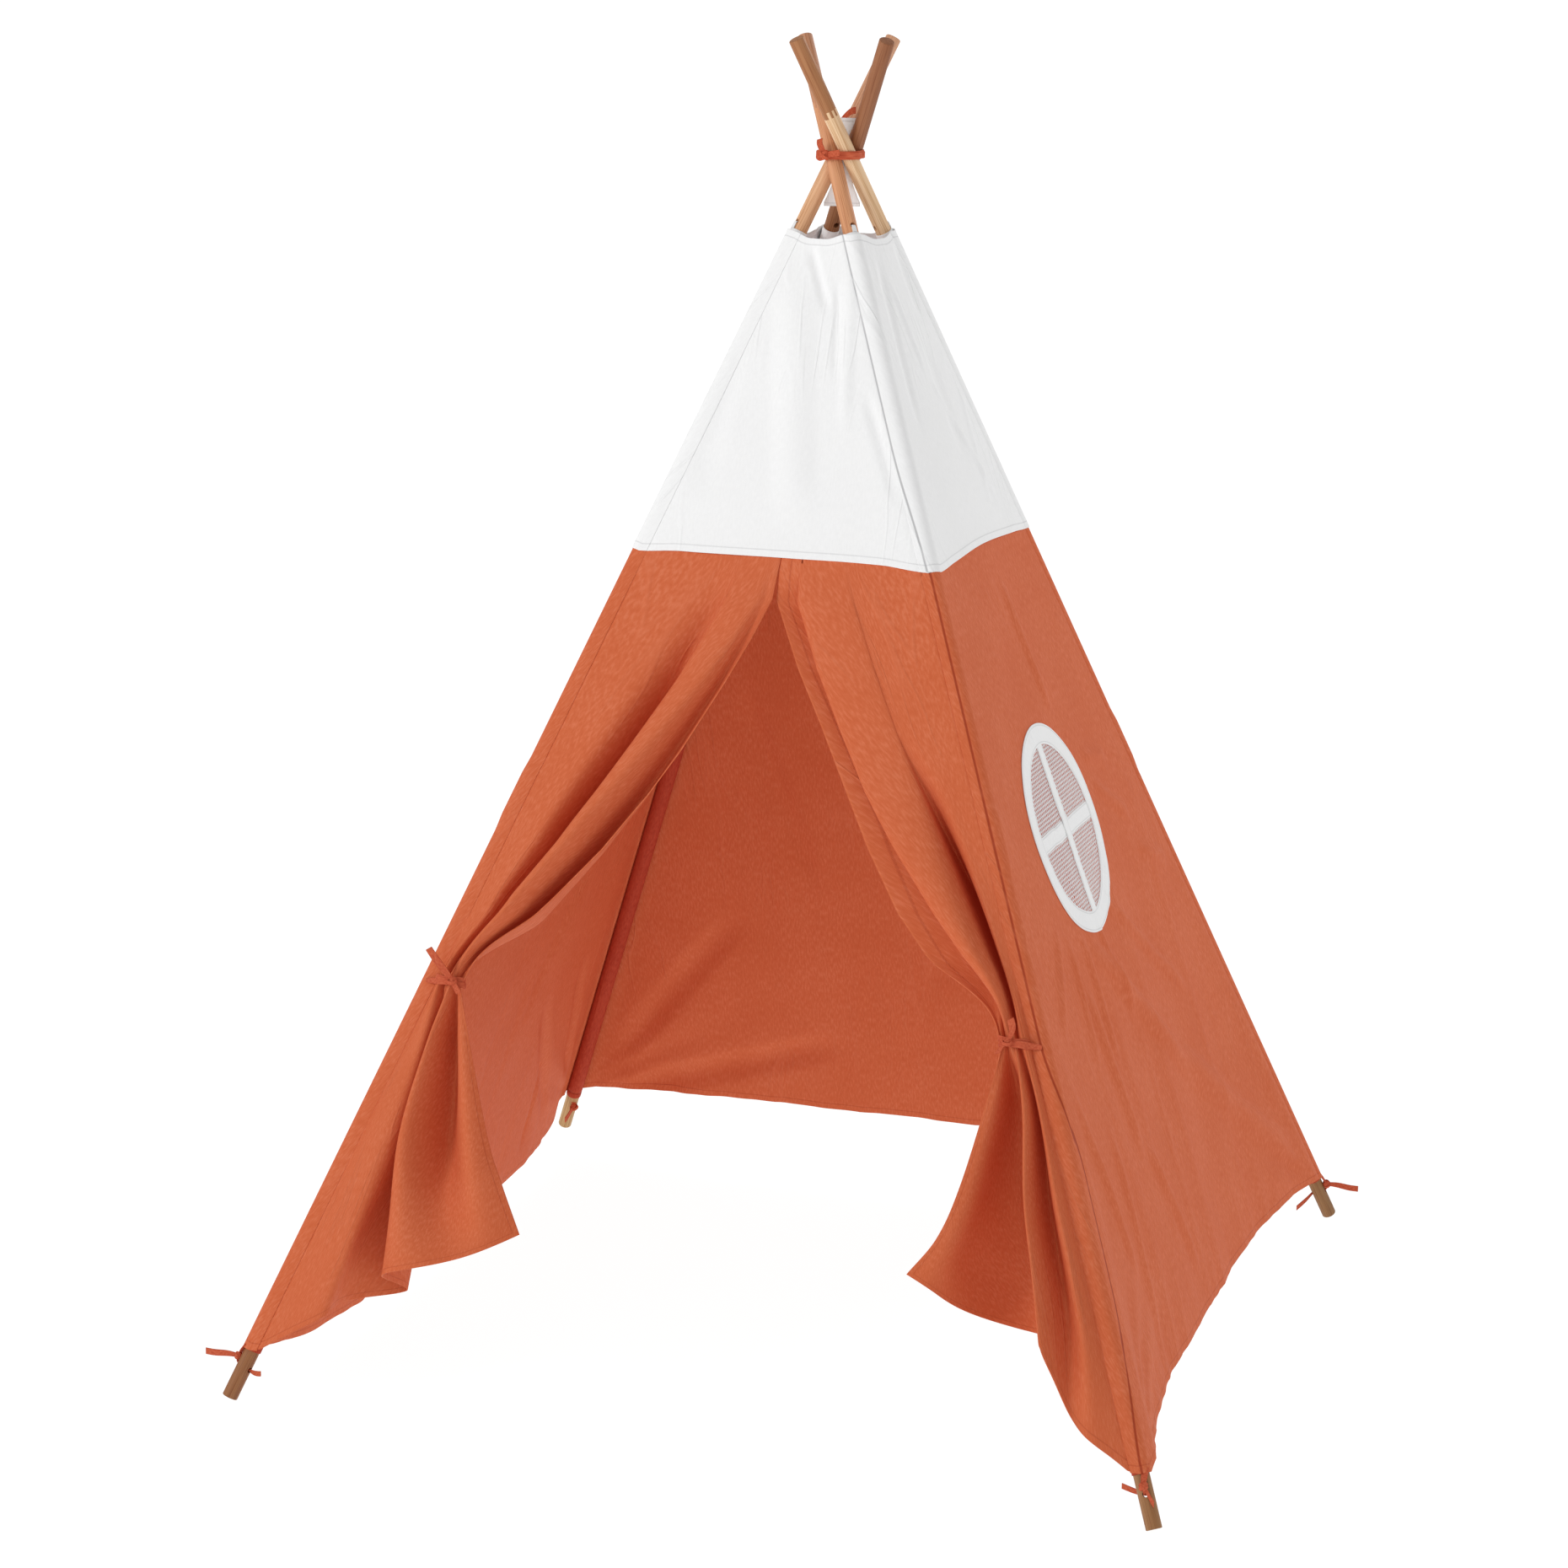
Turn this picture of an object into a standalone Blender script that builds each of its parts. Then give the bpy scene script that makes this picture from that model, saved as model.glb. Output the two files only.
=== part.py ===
"""A play tent on four wooden poles, modelled the way it is sewn, jointed and tied.

The four poles stand on the corners of a square and pass each other close to one point, where a tape lashes them.
Each pole is two dowels in a socket, and slides into a cloth sleeve that closes a corner of the cover from inside.
The cover is a white cap over three terracotta walls and two door flaps, which tapes gather towards the front poles.

World frame: metres, +Z up, the door faces -Y, and the origin is on the floor under the crossing of the poles.
A pole's own frame has its origin where the pole passes the crossing: +Z runs up the pole, +X points out of the tent
at right angles to the pole, and +Y runs along the cover to the right, as seen from outside.
"""

import math

import bmesh
import bpy
from mathutils import Matrix, Vector

# Poles
FOOT_SPACING = 1.200  # between the axes of neighbouring poles, where they meet the floor
CROSSING_HEIGHT = 1.553
POLE_ABOVE_CROSSING = 0.166  # along the pole
POLE_RADIUS = 0.010
POLE_END_CHAMFER = 0.0012
POLE_SIDES = 20
POLE_HOLE_RADIUS = 0.00375
FOOT_HOLE_FROM_END = 0.042
TOP_HOLE_BELOW_CROSSING = 0.102
GAP = 0.0003  # between pieces that touch

# Socket that joins the two dowels of a pole
SOCKET_FROM_TOP = 1.084  # from the top of the pole to the middle of the socket
SOCKET_LENGTH = 0.060
SOCKET_WALL = 0.0012
SOCKET_STOP = 0.0020  # web in the middle, which both dowels butt against

# Cloth. The real weave is about 0.4 mm thick and is drawn thicker, so that its solids hold together.
CLOTH = 0.0012
SLEEVE_CLOTH = 0.0010
SLEEVE_FROM_END = 0.066
SLEEVE_TOP_BELOW_CROSSING = 0.112
SLEEVE_RAMP = 0.020  # length over which a sleeve swells to pass the socket
COVER_CLEARANCE = 0.0005  # between a sleeve and the cover outside it
SEAM_FROM_POLE = 0.011  # from a pole's axis to the corner seam beside it

# Cover heights, taken on the line of the poles
CAP_TOP_BELOW_CROSSING = 0.097
CAP_HEM = 1.052
CAP_OVERLAP = 0.010  # how far the walls reach up under the cap
WALL_HEM = 0.062
WALL_HEM_RISE = 0.022  # the hem is cut a little higher between the poles
WALL_SLACK = 0.038  # how far the hem falls inwards between the poles
SLACK_MARGIN = 0.030  # flat strip of a wall beside each pole

# Window in the right wall
WINDOW_HEIGHT = 0.707
WINDOW_TO_FRONT = 0.067  # from the middle of the wall towards the door
WINDOW_RADIUS = 0.140
WINDOW_RING_WIDTH = 0.028
WINDOW_BAR_WIDTH = 0.022
WINDOW_LAP = 0.006  # how far the ring covers the net and the wall
NET_THICKNESS = 0.0010
NET_PITCH = 0.017
NET_STRAND = 0.004

# Door flaps
DOOR_SLIT = -0.012  # X of the slit between the flaps, at the top of the door
SLIT_GAP = 0.0012
TIE_HEIGHT = 0.520
TIE_NECK = 0.007  # half the height of the neck that the tie draws in
BUNDLE_WIDTH = 0.034
BUNDLE_DEPTH = 0.007  # half of the bundle's depth at its folds
BUNDLE_FORWARD = 0.004  # how far the bundle stands in front of the cover
FLAP_FOLDS = 4
FOLD_DEPTH = 0.011  # of the soft folds above the tie
FLAP_COLUMNS = 28
FLAP_EDGE_SAG = 0.165  # how far the edges of the door hang towards its middle
UPPER_ROWS = 11
LOWER_ROWS = 7

# Tapes
TAPE_WIDTH = 0.0085
TAPE_THICKNESS = 0.0012
TAPE_IN_HOLE = 0.0045
PINCHED = 0.6  # the share of its width that a tape keeps beside a knot
KNOT_FROM_END = 0.051
KNOT_HALF = Vector((0.0050, 0.0060, 0.0045))
TAPE_REACH = 0.053  # how far the longest tails reach past the line of the feet, left and right
TOP_TAPE_WIDTH = 0.0065
TOP_TAPE_INSIDE = 0.0060  # how far it reaches into its hole
TIE_KNOT_HALF = Vector((0.0060, 0.0035, 0.0060))
TIE_KNOT_ASIDE = 0.004  # from the middle of the bundle towards the door
TIE_KNOT_PROUD = 0.002
TIE_TAIL = Vector((0.020, -0.004, 0.034))  # from the knot to the end of its tail, X towards the pole
TIE_TAIL_TILT = 0.5
LASHING_WIDTH = 0.0105
LASHING_SIDES = 40
LASHING_KNOT_TURN = math.radians(-122)
LASHING_KNOT_HALF = Vector((0.0045, 0.0085, 0.0080))
# Each end of the lashing: where it ends, from the knot, and the direction of its width.
LASHING_ENDS = {
    "lashing_end_a": (Vector((-0.006, -0.002, 0.019)), Vector((0.9, 0, 0.3))),
    "lashing_end_b": (Vector((0.022, -0.006, 0.004)), Vector((0, 0, 1))),
}
# The loose loop of the lashing, from the middle of the crossing. It starts on top of the band.
LASHING_LOOP_START = (-0.0261, 0.006)
LASHING_LOOP = (
    (-0.019, 0.013, 0.020),
    (-0.013, 0.011, 0.031),
    (-0.005, 0.008, 0.042),
    (0.003, 0.004, 0.050),
    (0.010, 0.001, 0.055),
    (0.016, -0.001, 0.056),
)

# Blank cloth tag between the poles
TAG_WIDTH = 0.046
TAG_ABOVE = 0.046
TAG_BELOW = 0.066
TAG_THICKNESS = 0.0008
TAG_TURN = math.radians(16)

POLES = {"front_left": 225, "front_right": 315, "back_right": 45, "back_left": 135}
FACES = {
    "front": ("front_left", "front_right", 270),
    "right": ("front_right", "back_right", 0),
    "back": ("back_right", "back_left", 90),
    "left": ("back_left", "front_left", 180),
}
# Turn of the hole in each foot from the pole's +X, and where the tails of its tape end, in world steps.
FOOT_TAPES = {
    "front_left": (-59, (None, 0.004, -0.001), (0.016, -0.006, 0.001)),
    "front_right": (-35, (0.014, -0.002, -0.020), (-0.032, 0.010, 0.002)),
    "back_right": (-37, (None, -0.010, 0.001), (-0.016, -0.030, -0.014)),
    "back_left": (173, (-0.004, -0.030, -0.012), (-0.002, 0.004, 0.000)),
}
# The hem of each flap below its tie, from the pole (0) to the edge of the door (1):
# the share across, X towards the pole's side, height, and depth in front of the cover.
FLAP_HEMS = {
    "left": (
        (0.35, 0.478, 0.110, 0.000),
        (0.50, 0.405, 0.158, -0.034),
        (0.62, 0.412, 0.166, 0.016),
        (0.80, 0.325, 0.198, 0.026),
        (1.00, 0.245, 0.232, 0.000),
    ),
    "right": (
        (0.35, 0.486, 0.098, 0.000),
        (0.50, 0.436, 0.160, -0.030),
        (0.62, 0.428, 0.200, 0.014),
        (0.80, 0.345, 0.222, 0.024),
        (1.00, 0.262, 0.245, 0.000),
    ),
}

RADIAL_SPACING = FOOT_SPACING / math.sqrt(2)
TILT = math.atan2(RADIAL_SPACING, CROSSING_HEIGHT)
SLANT = math.atan(math.tan(TILT) / math.sqrt(2))  # of a wall from the vertical
CORNER_TURN = math.acos(math.sin(SLANT) ** 2) / 2  # half the angle that the cover turns round a pole
# Neighbouring poles just touch where they pass each other, so each passes the centre at this distance.
SIDESTEP = (2 * POLE_RADIUS + GAP) * math.sqrt(1 + math.cos(TILT) ** 2) / (2 * math.cos(TILT))
POLE_BELOW_CROSSING = (CROSSING_HEIGHT - (POLE_RADIUS - POLE_END_CHAMFER) * math.sin(TILT)) / math.cos(TILT)
SOCKET_MIDDLE = POLE_ABOVE_CROSSING - SOCKET_FROM_TOP
SLEEVE_RADIUS = POLE_RADIUS + GAP + SLEEVE_CLOTH
SOCKET_SWELL = SOCKET_WALL + GAP
CAP_TOP = CROSSING_HEIGHT - CAP_TOP_BELOW_CROSSING
FLAT_LIFT = SLEEVE_RADIUS + COVER_CLEARANCE + CLOTH / 2  # from the pole axes to the middle of the cover's cloth
CAP_LIFT = CLOTH + GAP  # the cap lies outside the walls


def clear_scene():
    for old in list(bpy.data.objects):
        bpy.data.objects.remove(old, do_unlink=True)


def new_collection(name):
    made = bpy.data.collections.new(name)
    bpy.context.scene.collection.children.link(made)
    return made


def new_material(name, colour, roughness, metallic=0.0):
    made = bpy.data.materials.new(name)
    made.use_nodes = True
    shader = made.node_tree.nodes["Principled BSDF"]
    shader.inputs["Base Color"].default_value = (*colour, 1.0)
    shader.inputs["Roughness"].default_value = roughness
    shader.inputs["Metallic"].default_value = metallic
    return made


def add_object(name, mesh, material, parent=None, collection=None):
    made = bpy.data.objects.new(name, mesh)
    (collection or tent).objects.link(made)
    if material:
        mesh.materials.append(material)
    made.parent = parent
    return made


def mesh_from(bm, name):
    bmesh.ops.recalc_face_normals(bm, faces=bm.faces)
    mesh = bpy.data.meshes.new(name)
    bm.to_mesh(mesh)
    bm.free()
    return mesh


def smooth(share):
    share = min(max(share, 0.0), 1.0)
    return share * share * (3 - 2 * share)


def lerp(a, b, share):
    return a + (b - a) * share


# Places on the poles and on the cover


def outward(pole):
    turn = math.radians(POLES[pole])
    return Vector((math.cos(turn), math.sin(turn), 0))


def sideways(pole):
    turn = math.radians(POLES[pole])
    return Vector((-math.sin(turn), math.cos(turn), 0))


def hinge_point(pole):
    """Where the pole's axis passes the crossing, which is also the point it folds about."""
    return sideways(pole) * -SIDESTEP + Vector((0, 0, CROSSING_HEIGHT))


def pole_frame(pole):
    turn = Matrix.Rotation(math.radians(POLES[pole]), 4, "Z") @ Matrix.Rotation(-TILT, 4, "Y")
    return Matrix.Translation(hinge_point(pole)) @ turn


def axis_at(pole, height):
    """The point of the pole's axis at a height over the floor."""
    out = (CROSSING_HEIGHT - height) * math.tan(TILT)
    return hinge_point(pole) + outward(pole) * out + Vector((0, 0, height - CROSSING_HEIGHT))


def along_at(height):
    return (height - CROSSING_HEIGHT) / math.cos(TILT)


def height_at(along):
    return CROSSING_HEIGHT + along * math.cos(TILT)


def swell(along):
    """How much further out the sleeve lies than on the bare pole, at a place along the pole."""
    past_socket = abs(along - SOCKET_MIDDLE) - SOCKET_LENGTH / 2 - GAP
    return SOCKET_SWELL * min(max(1 - past_socket / SLEEVE_RAMP, 0.0), 1.0)


def swell_steps():
    """The places along a pole, going down, where the swelling over the socket starts, is full and ends."""
    full = SOCKET_LENGTH / 2 + GAP
    return [SOCKET_MIDDLE + step for step in (full + SLEEVE_RAMP, full, -full, -full - SLEEVE_RAMP)]


def face_normal(face):
    turn = math.radians(FACES[face][2])
    return Vector((math.cos(turn) * math.cos(SLANT), math.sin(turn) * math.cos(SLANT), math.sin(SLANT)))


def slack(face, share, height, width):
    """How far the cloth of a wall lies inside the plane of its poles."""
    if face == "front" or height > CAP_HEM:
        return 0.0
    margin = SLACK_MARGIN / width
    across = min(max((share - margin) / (1 - 2 * margin), 0.0), 1.0)
    down = (CAP_HEM - height) / (CAP_HEM - WALL_HEM)
    return WALL_SLACK * (1 - (2 * across - 1) ** 4) * down**3


def relief(height, share, width):
    """How far the cover stands out over the swelling of a sleeve, fading away from the pole."""
    to_pole = min(share, 1 - share) * width
    return swell(along_at(height)) * min(max(1 - to_pole / SLACK_MARGIN, 0.0), 1.0)


def face_point(face, height, share=None, from_left=None, from_right=None, lift=0.0):
    """A point of the cover between two poles: a share of the way across, or a distance from one of the poles."""
    left, right, _ = FACES[face]
    start, end = axis_at(left, height), axis_at(right, height)
    width = (end - start).length
    if from_left is not None:
        share = from_left / width
    if from_right is not None:
        share = 1 - from_right / width
    out = FLAT_LIFT + relief(height, share, width) + lift - slack(face, share, height, width)
    return lerp(start, end, share) + face_normal(face) * out


def corner_point(pole, turn, height, lift=0.0):
    """A point of the cover where it turns round a pole, turned from the pole's +X."""
    frame = pole_frame(pole).to_3x3()
    direction = frame @ Vector((math.cos(turn), math.sin(turn), 0))
    return axis_at(pole, height) + direction * (FLAT_LIFT + swell(along_at(height)) + lift)


def front_point(x, height, depth=0.0):
    """A point at X and a height on the front of the cover, and a depth in front of its cloth."""
    left, right, _ = FACES["front"]
    start, end = axis_at(left, height), axis_at(right, height)
    width = end.x - start.x
    share = (x - start.x) / width
    return lerp(start, end, share) + face_normal("front") * (FLAT_LIFT + relief(height, share, width) + depth)


def window_point(across, up, lift):
    """A point of the right wall, measured from the middle of the window across and up the cloth."""
    height = WINDOW_HEIGHT + up * math.cos(SLANT)
    left, right, _ = FACES["right"]
    start, end = axis_at(left, height), axis_at(right, height)
    share = (across - WINDOW_TO_FRONT - start.y) / (end.y - start.y)
    return face_point("right", height, share=share, lift=lift)


# Ways of making a piece


def turned(name, profile, material, parent, closed=False, sides=POLE_SIDES):
    """A piece turned round its own Z from points (radius, height), which run down its outer side."""
    bm = bmesh.new()
    points = [bm.verts.new((radius, 0, height)) for radius, height in profile]
    for first, second in zip(points, points[1:]):
        bm.edges.new((first, second))
    if closed:
        bm.edges.new((points[-1], points[0]))
    mesh = bpy.data.meshes.new(name)
    bm.to_mesh(mesh)
    bm.free()
    made = add_object(name, mesh, material, parent)
    screw = made.modifiers.new("turn", "SCREW")
    screw.steps = screw.render_steps = sides
    screw.use_merge_vertices = True
    screw.merge_threshold = 0.00001
    screw.use_smooth_shade = True
    return made


def sheet(name, columns, rows, place, thickness, material, parent=None, collection=None):
    """A piece of cloth: a grid whose points are put in place by column and row, and given its thickness."""
    bm = bmesh.new()
    bmesh.ops.create_grid(bm, x_segments=columns, y_segments=rows, size=1.0)
    bm.verts.ensure_lookup_table()
    for row in range(rows + 1):
        for column in range(columns + 1):
            bm.verts[row * (columns + 1) + column].co = place(column, row)
    made = add_object(name, mesh_from(bm, name), material, parent, collection)
    solid = made.modifiers.new("thickness", "SOLIDIFY")
    solid.thickness = thickness
    solid.offset = 0.0
    solid.use_even_offset = True
    return made


def ribbon(name, points, widths, side, material, parent=None, collection=None, thickness=TAPE_THICKNESS):
    """A flat tape that runs through points, as wide as stated along a side vector at each."""

    def place(column, row):
        return points[row] + side[row] * (widths[row] * (column - 0.5))

    return sheet(name, 1, len(points) - 1, place, thickness, material, parent, collection)


def flat_piece(name, outlines, thickness, material):
    """A flat piece cut to closed outlines, lying in XY: the first is its edge and the others are holes."""
    curve = bpy.data.curves.new(name, "CURVE")
    curve.dimensions = "2D"
    curve.fill_mode = "BOTH"
    curve.extrude = thickness / 2
    for outline in outlines:
        spline = curve.splines.new("POLY")
        spline.points.add(len(outline) - 1)
        for point, (x, y) in zip(spline.points, outline):
            point.co = (x, y, 0, 1)
        spline.use_cyclic_u = True
    drawn = bpy.data.objects.new(name + "_outline", curve)
    tent.objects.link(drawn)
    bpy.context.view_layer.update()
    mesh = bpy.data.meshes.new_from_object(drawn.evaluated_get(bpy.context.evaluated_depsgraph_get()))
    bpy.data.objects.remove(drawn, do_unlink=True)
    bm = bmesh.new()
    bm.from_mesh(mesh)
    bmesh.ops.remove_doubles(bm, verts=bm.verts, dist=0.00001)
    bpy.data.meshes.remove(mesh)
    return add_object(name, mesh_from(bm, name), material)


def circle_points(radius, count, centre=(0, 0), start=0.0):
    turns = [start + 2 * math.pi * step / count for step in range(count)]
    return [(centre[0] + radius * math.cos(turn), centre[1] + radius * math.sin(turn)) for turn in turns]


def rounded_points(half_width, half_depth, count=36):
    """A ring of points fuller than an ellipse, as a tape lies round a gathered cloth."""
    turns = [2 * math.pi * step / count for step in range(count)]
    full = [(math.cos(turn), math.sin(turn)) for turn in turns]
    return [(half_width * spread(x), half_depth * spread(y)) for x, y in full]


def spread(value):
    return math.copysign(abs(value) ** 0.75, value)


def lump(name, centre, half, material, parent=None, collection=None):
    """A drawn-up knot, as a squashed ball."""
    bm = bmesh.new()
    place = Matrix.Translation(centre) @ Matrix.Diagonal((*half, 1))
    bmesh.ops.create_uvsphere(bm, u_segments=12, v_segments=8, radius=1.0, matrix=place)
    return add_object(name, mesh_from(bm, name), material, parent, collection)


def as_tool(tool):
    tool.hide_render = True
    tool.display_type = "WIRE"
    return tool


def combine(target, tool, operation):
    """Cuts a tool out of a piece, or joins it on."""
    as_tool(tool)
    change = target.modifiers.new(operation.lower(), "BOOLEAN")
    change.operation = operation
    change.object = tool
    change.solver = "EXACT"


def drill(target, parent, along, turn, radius, length):
    """A round hole across a pole, at a place along it, turned from the pole's +X."""
    bm = bmesh.new()
    lay = Matrix.Translation((0, 0, along)) @ Matrix.Rotation(turn, 4, "Z") @ Matrix.Rotation(math.pi / 2, 4, "Y")
    bmesh.ops.create_cone(
        bm, cap_ends=True, segments=12, radius1=radius, radius2=radius, depth=length, matrix=lay
    )
    tool = add_object(target.name + "_drill", mesh_from(bm, "drill"), None, parent, cutters)
    combine(target, tool, "DIFFERENCE")


# Poles


def dowel_profile(top, bottom):
    rim = POLE_RADIUS - POLE_END_CHAMFER
    return [
        (0, top),
        (rim, top),
        (POLE_RADIUS, top - POLE_END_CHAMFER),
        (POLE_RADIUS, bottom + POLE_END_CHAMFER),
        (rim, bottom),
        (0, bottom),
    ]


def make_pole(pole):
    fold = bpy.data.objects.new(f"pole_{pole}_fold", None)
    tent.objects.link(fold)
    fold.matrix_world = pole_frame(pole)
    butt = SOCKET_STOP / 2 + GAP
    upper = turned(
        f"pole_upper_{pole}", dowel_profile(POLE_ABOVE_CROSSING, SOCKET_MIDDLE + butt), wood, fold
    )
    lower = turned(
        f"pole_lower_{pole}", dowel_profile(SOCKET_MIDDLE - butt, -POLE_BELOW_CROSSING), wood, fold
    )
    drill(upper, fold, -TOP_HOLE_BELOW_CROSSING, 0.0, POLE_HOLE_RADIUS, 4 * POLE_RADIUS)
    foot_hole = FOOT_HOLE_FROM_END - POLE_BELOW_CROSSING
    drill(lower, fold, foot_hole, math.radians(FOOT_TAPES[pole][0]), POLE_HOLE_RADIUS, 4 * POLE_RADIUS)
    make_socket(pole, fold)
    make_sleeves(pole, fold)
    make_top_tape(pole, fold)
    make_foot_tape(pole, fold)


def make_socket(pole, fold):
    bore = POLE_RADIUS + GAP
    outer = bore + SOCKET_WALL
    top, bottom = SOCKET_MIDDLE + SOCKET_LENGTH / 2, SOCKET_MIDDLE - SOCKET_LENGTH / 2
    web_top, web_bottom = SOCKET_MIDDLE + SOCKET_STOP / 2, SOCKET_MIDDLE - SOCKET_STOP / 2
    profile = [(0, web_top), (bore, web_top), (bore, top), (outer, top)]
    profile += [(outer, bottom), (bore, bottom), (bore, web_bottom), (0, web_bottom)]
    turned(f"socket_{pole}", profile, socket_plastic, fold)


def make_sleeves(pole, fold):
    """The cloth tubes round a pole: terracotta below the cap's hem, and white above it."""
    inner = POLE_RADIUS + GAP
    seam = along_at(CAP_HEM)
    swells = [(inner + swell(along), along) for along in swell_steps()]
    bottom = SLEEVE_FROM_END - POLE_BELOW_CROSSING
    for name, line, cloth in (
        (f"sleeve_{pole}", [(inner, seam - GAP), *swells, (inner, bottom)], terracotta),
        (f"cap_sleeve_{pole}", [(inner, -SLEEVE_TOP_BELOW_CROSSING), (inner, seam)], white),
    ):
        outside = [(radius + SLEEVE_CLOTH, along) for radius, along in line]
        turned(name, outside + line[::-1], cloth, fold, closed=True)


def make_top_tape(pole, fold):
    """The white loop that holds the cap up: it runs up the pole from the sleeve and into the upper hole."""
    over = POLE_RADIUS + GAP + TAPE_THICKNESS / 2
    hole = -TOP_HOLE_BELOW_CROSSING
    start = -SLEEVE_TOP_BELOW_CROSSING + GAP
    points = [
        Vector((over, 0, start)),
        Vector((over, 0, lerp(start, hole, 0.6))),
        Vector((over - 0.0002, 0, hole - 0.0010)),
        Vector((POLE_RADIUS - 0.0010, 0, hole + 0.0004)),
        Vector((POLE_RADIUS - TOP_TAPE_INSIDE, 0, hole + 0.0004)),
    ]
    widths = [TOP_TAPE_WIDTH, (TOP_TAPE_WIDTH + TAPE_IN_HOLE) / 2, TAPE_IN_HOLE, TAPE_IN_HOLE, TAPE_IN_HOLE]
    ribbon(f"top_tape_{pole}", points, widths, [Vector((0, 1, 0))] * len(points), white, fold)


def tail_end(start, step, side):
    """Where a tail ends: a step away, or as far out to one side as the longest tails reach."""
    if step[0] is None:
        x = side * (FOOT_SPACING / 2 + TAPE_REACH)
        return Vector((x, start.y + step[1], start.z + step[2]))
    return start + Vector(step)


def make_foot_tape(pole, fold):
    """The corner tape: a knotted tail on one side of the foot, through its hole, and a tail on the other."""
    turn_deg, knot_tail, back_tail = FOOT_TAPES[pole]
    turn = math.radians(turn_deg)
    frame = pole_frame(pole)
    to_pole = frame.inverted()
    mouth = Vector((math.cos(turn), math.sin(turn), 0))
    across = Vector((-math.sin(turn), math.cos(turn), 0))
    up = Vector((0, 0, 1))
    hole = up * (FOOT_HOLE_FROM_END - POLE_BELOW_CROSSING)
    knot = mouth * (POLE_RADIUS + GAP + KNOT_HALF.x) + up * (KNOT_FROM_END - POLE_BELOW_CROSSING)
    side = math.copysign(1.0, outward(pole).x)
    front_end = to_pole @ tail_end(frame @ knot, knot_tail, side)
    behind = hole - mouth * (POLE_RADIUS + 2 * TAPE_THICKNESS)
    back_end = to_pole @ tail_end(frame @ behind, back_tail, side)
    tall = to_pole.to_3x3() @ Vector((0, 0, 1))

    points = [lerp(knot, front_end, 1.0), lerp(knot, front_end, 0.5), lerp(knot, front_end, 0.2)]
    widths = [TAPE_WIDTH, TAPE_WIDTH, TAPE_WIDTH * PINCHED]
    sides = [tall, tall, tall]
    front = ribbon(f"foot_tape_{pole}", points + [knot], widths + [TAPE_IN_HOLE], sides + [tall], terracotta, fold)
    ball = lump("knot", Vector(), KNOT_HALF, terracotta, fold, cutters)
    ball.matrix_local = Matrix.Translation(knot) @ Matrix.Rotation(turn, 4, "Z")
    combine(front, ball, "UNION")

    inside = [
        knot - up * KNOT_HALF.z * 0.3,
        hole + mouth * (POLE_RADIUS + GAP + TAPE_THICKNESS * 0.8),
        hole + mouth * (POLE_RADIUS - 0.002),
        hole - mouth * POLE_RADIUS,
        behind,
    ]
    strand_sides = [across] * len(inside)
    strand = ribbon("strand", inside, [TAPE_IN_HOLE] * len(inside), strand_sides, terracotta, fold, cutters)
    combine(front, strand, "UNION")

    back_points = [behind + mouth * 0.0006, lerp(behind, back_end, 0.3), back_end]
    back_widths = [TAPE_IN_HOLE, TAPE_WIDTH * 0.8, TAPE_WIDTH * 0.8]
    back = ribbon("tail", back_points, back_widths, [tall] * 3, terracotta, fold, cutters)
    combine(front, back, "UNION")


# Cover


def corner_stations(pole, steps=4):
    """Places across the cover where it turns round a pole, each as a function of height and lift."""

    def station(turn):
        return lambda height, lift: corner_point(pole, turn, height, lift)

    return [station(lerp(-CORNER_TURN, CORNER_TURN, step / steps)) for step in range(steps + 1)]


def face_stations(face, shares):
    def station(share):
        return lambda height, lift: face_point(face, height, share=share, lift=lift)

    return [station(share) for share in shares]


def seam_station(face, side, distance):
    def station(height, lift):
        return face_point(face, height, lift=lift, **{side: distance})

    return [station]


def panel_stations(panel, shares):
    """A panel of the cover from one corner seam to the next. The side panels turn round the front poles."""
    near, far = SEAM_FROM_POLE, SEAM_FROM_POLE + GAP
    if panel == "front":
        between = face_stations("front", shares)
        return seam_station("front", "from_left", far) + between + seam_station("front", "from_right", far)
    if panel == "right":
        start = seam_station("front", "from_right", near) + corner_stations("front_right")
        return start + face_stations("right", shares) + seam_station("right", "from_right", far)
    if panel == "left":
        end = corner_stations("front_left") + seam_station("front", "from_left", near)
        return seam_station("left", "from_left", far) + face_stations("left", shares) + end
    start = seam_station("right", "from_right", near) + corner_stations("back_right")
    end = corner_stations("back_left") + seam_station("left", "from_left", near)
    return start + face_stations("back", shares) + end


def hem_height(panel, station):
    """The height of the hem at a place across a wall: lowest at the poles, and cut higher between them."""
    left, right, _ = FACES[panel]
    start, end = axis_at(left, WALL_HEM), axis_at(right, WALL_HEM)
    span = end - start
    share = (station(WALL_HEM, 0.0) - start).dot(span) / span.length_squared
    share = min(max(share, 0.0), 1.0)
    return WALL_HEM + WALL_HEM_RISE * (1 - (2 * share - 1) ** 4)


def make_wall(panel):
    shares = [0.04, 0.12, 0.24, 0.38, 0.5, 0.62, 0.76, 0.88, 0.96]
    stations = panel_stations(panel, shares)
    hems = [hem_height(panel, station) for station in stations]
    top = CAP_HEM + CAP_OVERLAP
    swells = [height_at(along) for along in swell_steps()]
    below = [lerp(swells[-1], WALL_HEM, share) for share in (0.24, 0.47, 0.69, 0.86)]
    heights = [top, (top + swells[0]) / 2, *swells, *below]

    def place(column, row):
        height = heights[row] if row < len(heights) else hems[column]
        return stations[column](height, 0.0)

    return sheet(f"wall_{panel}", len(stations) - 1, len(heights), place, CLOTH, terracotta)


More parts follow.
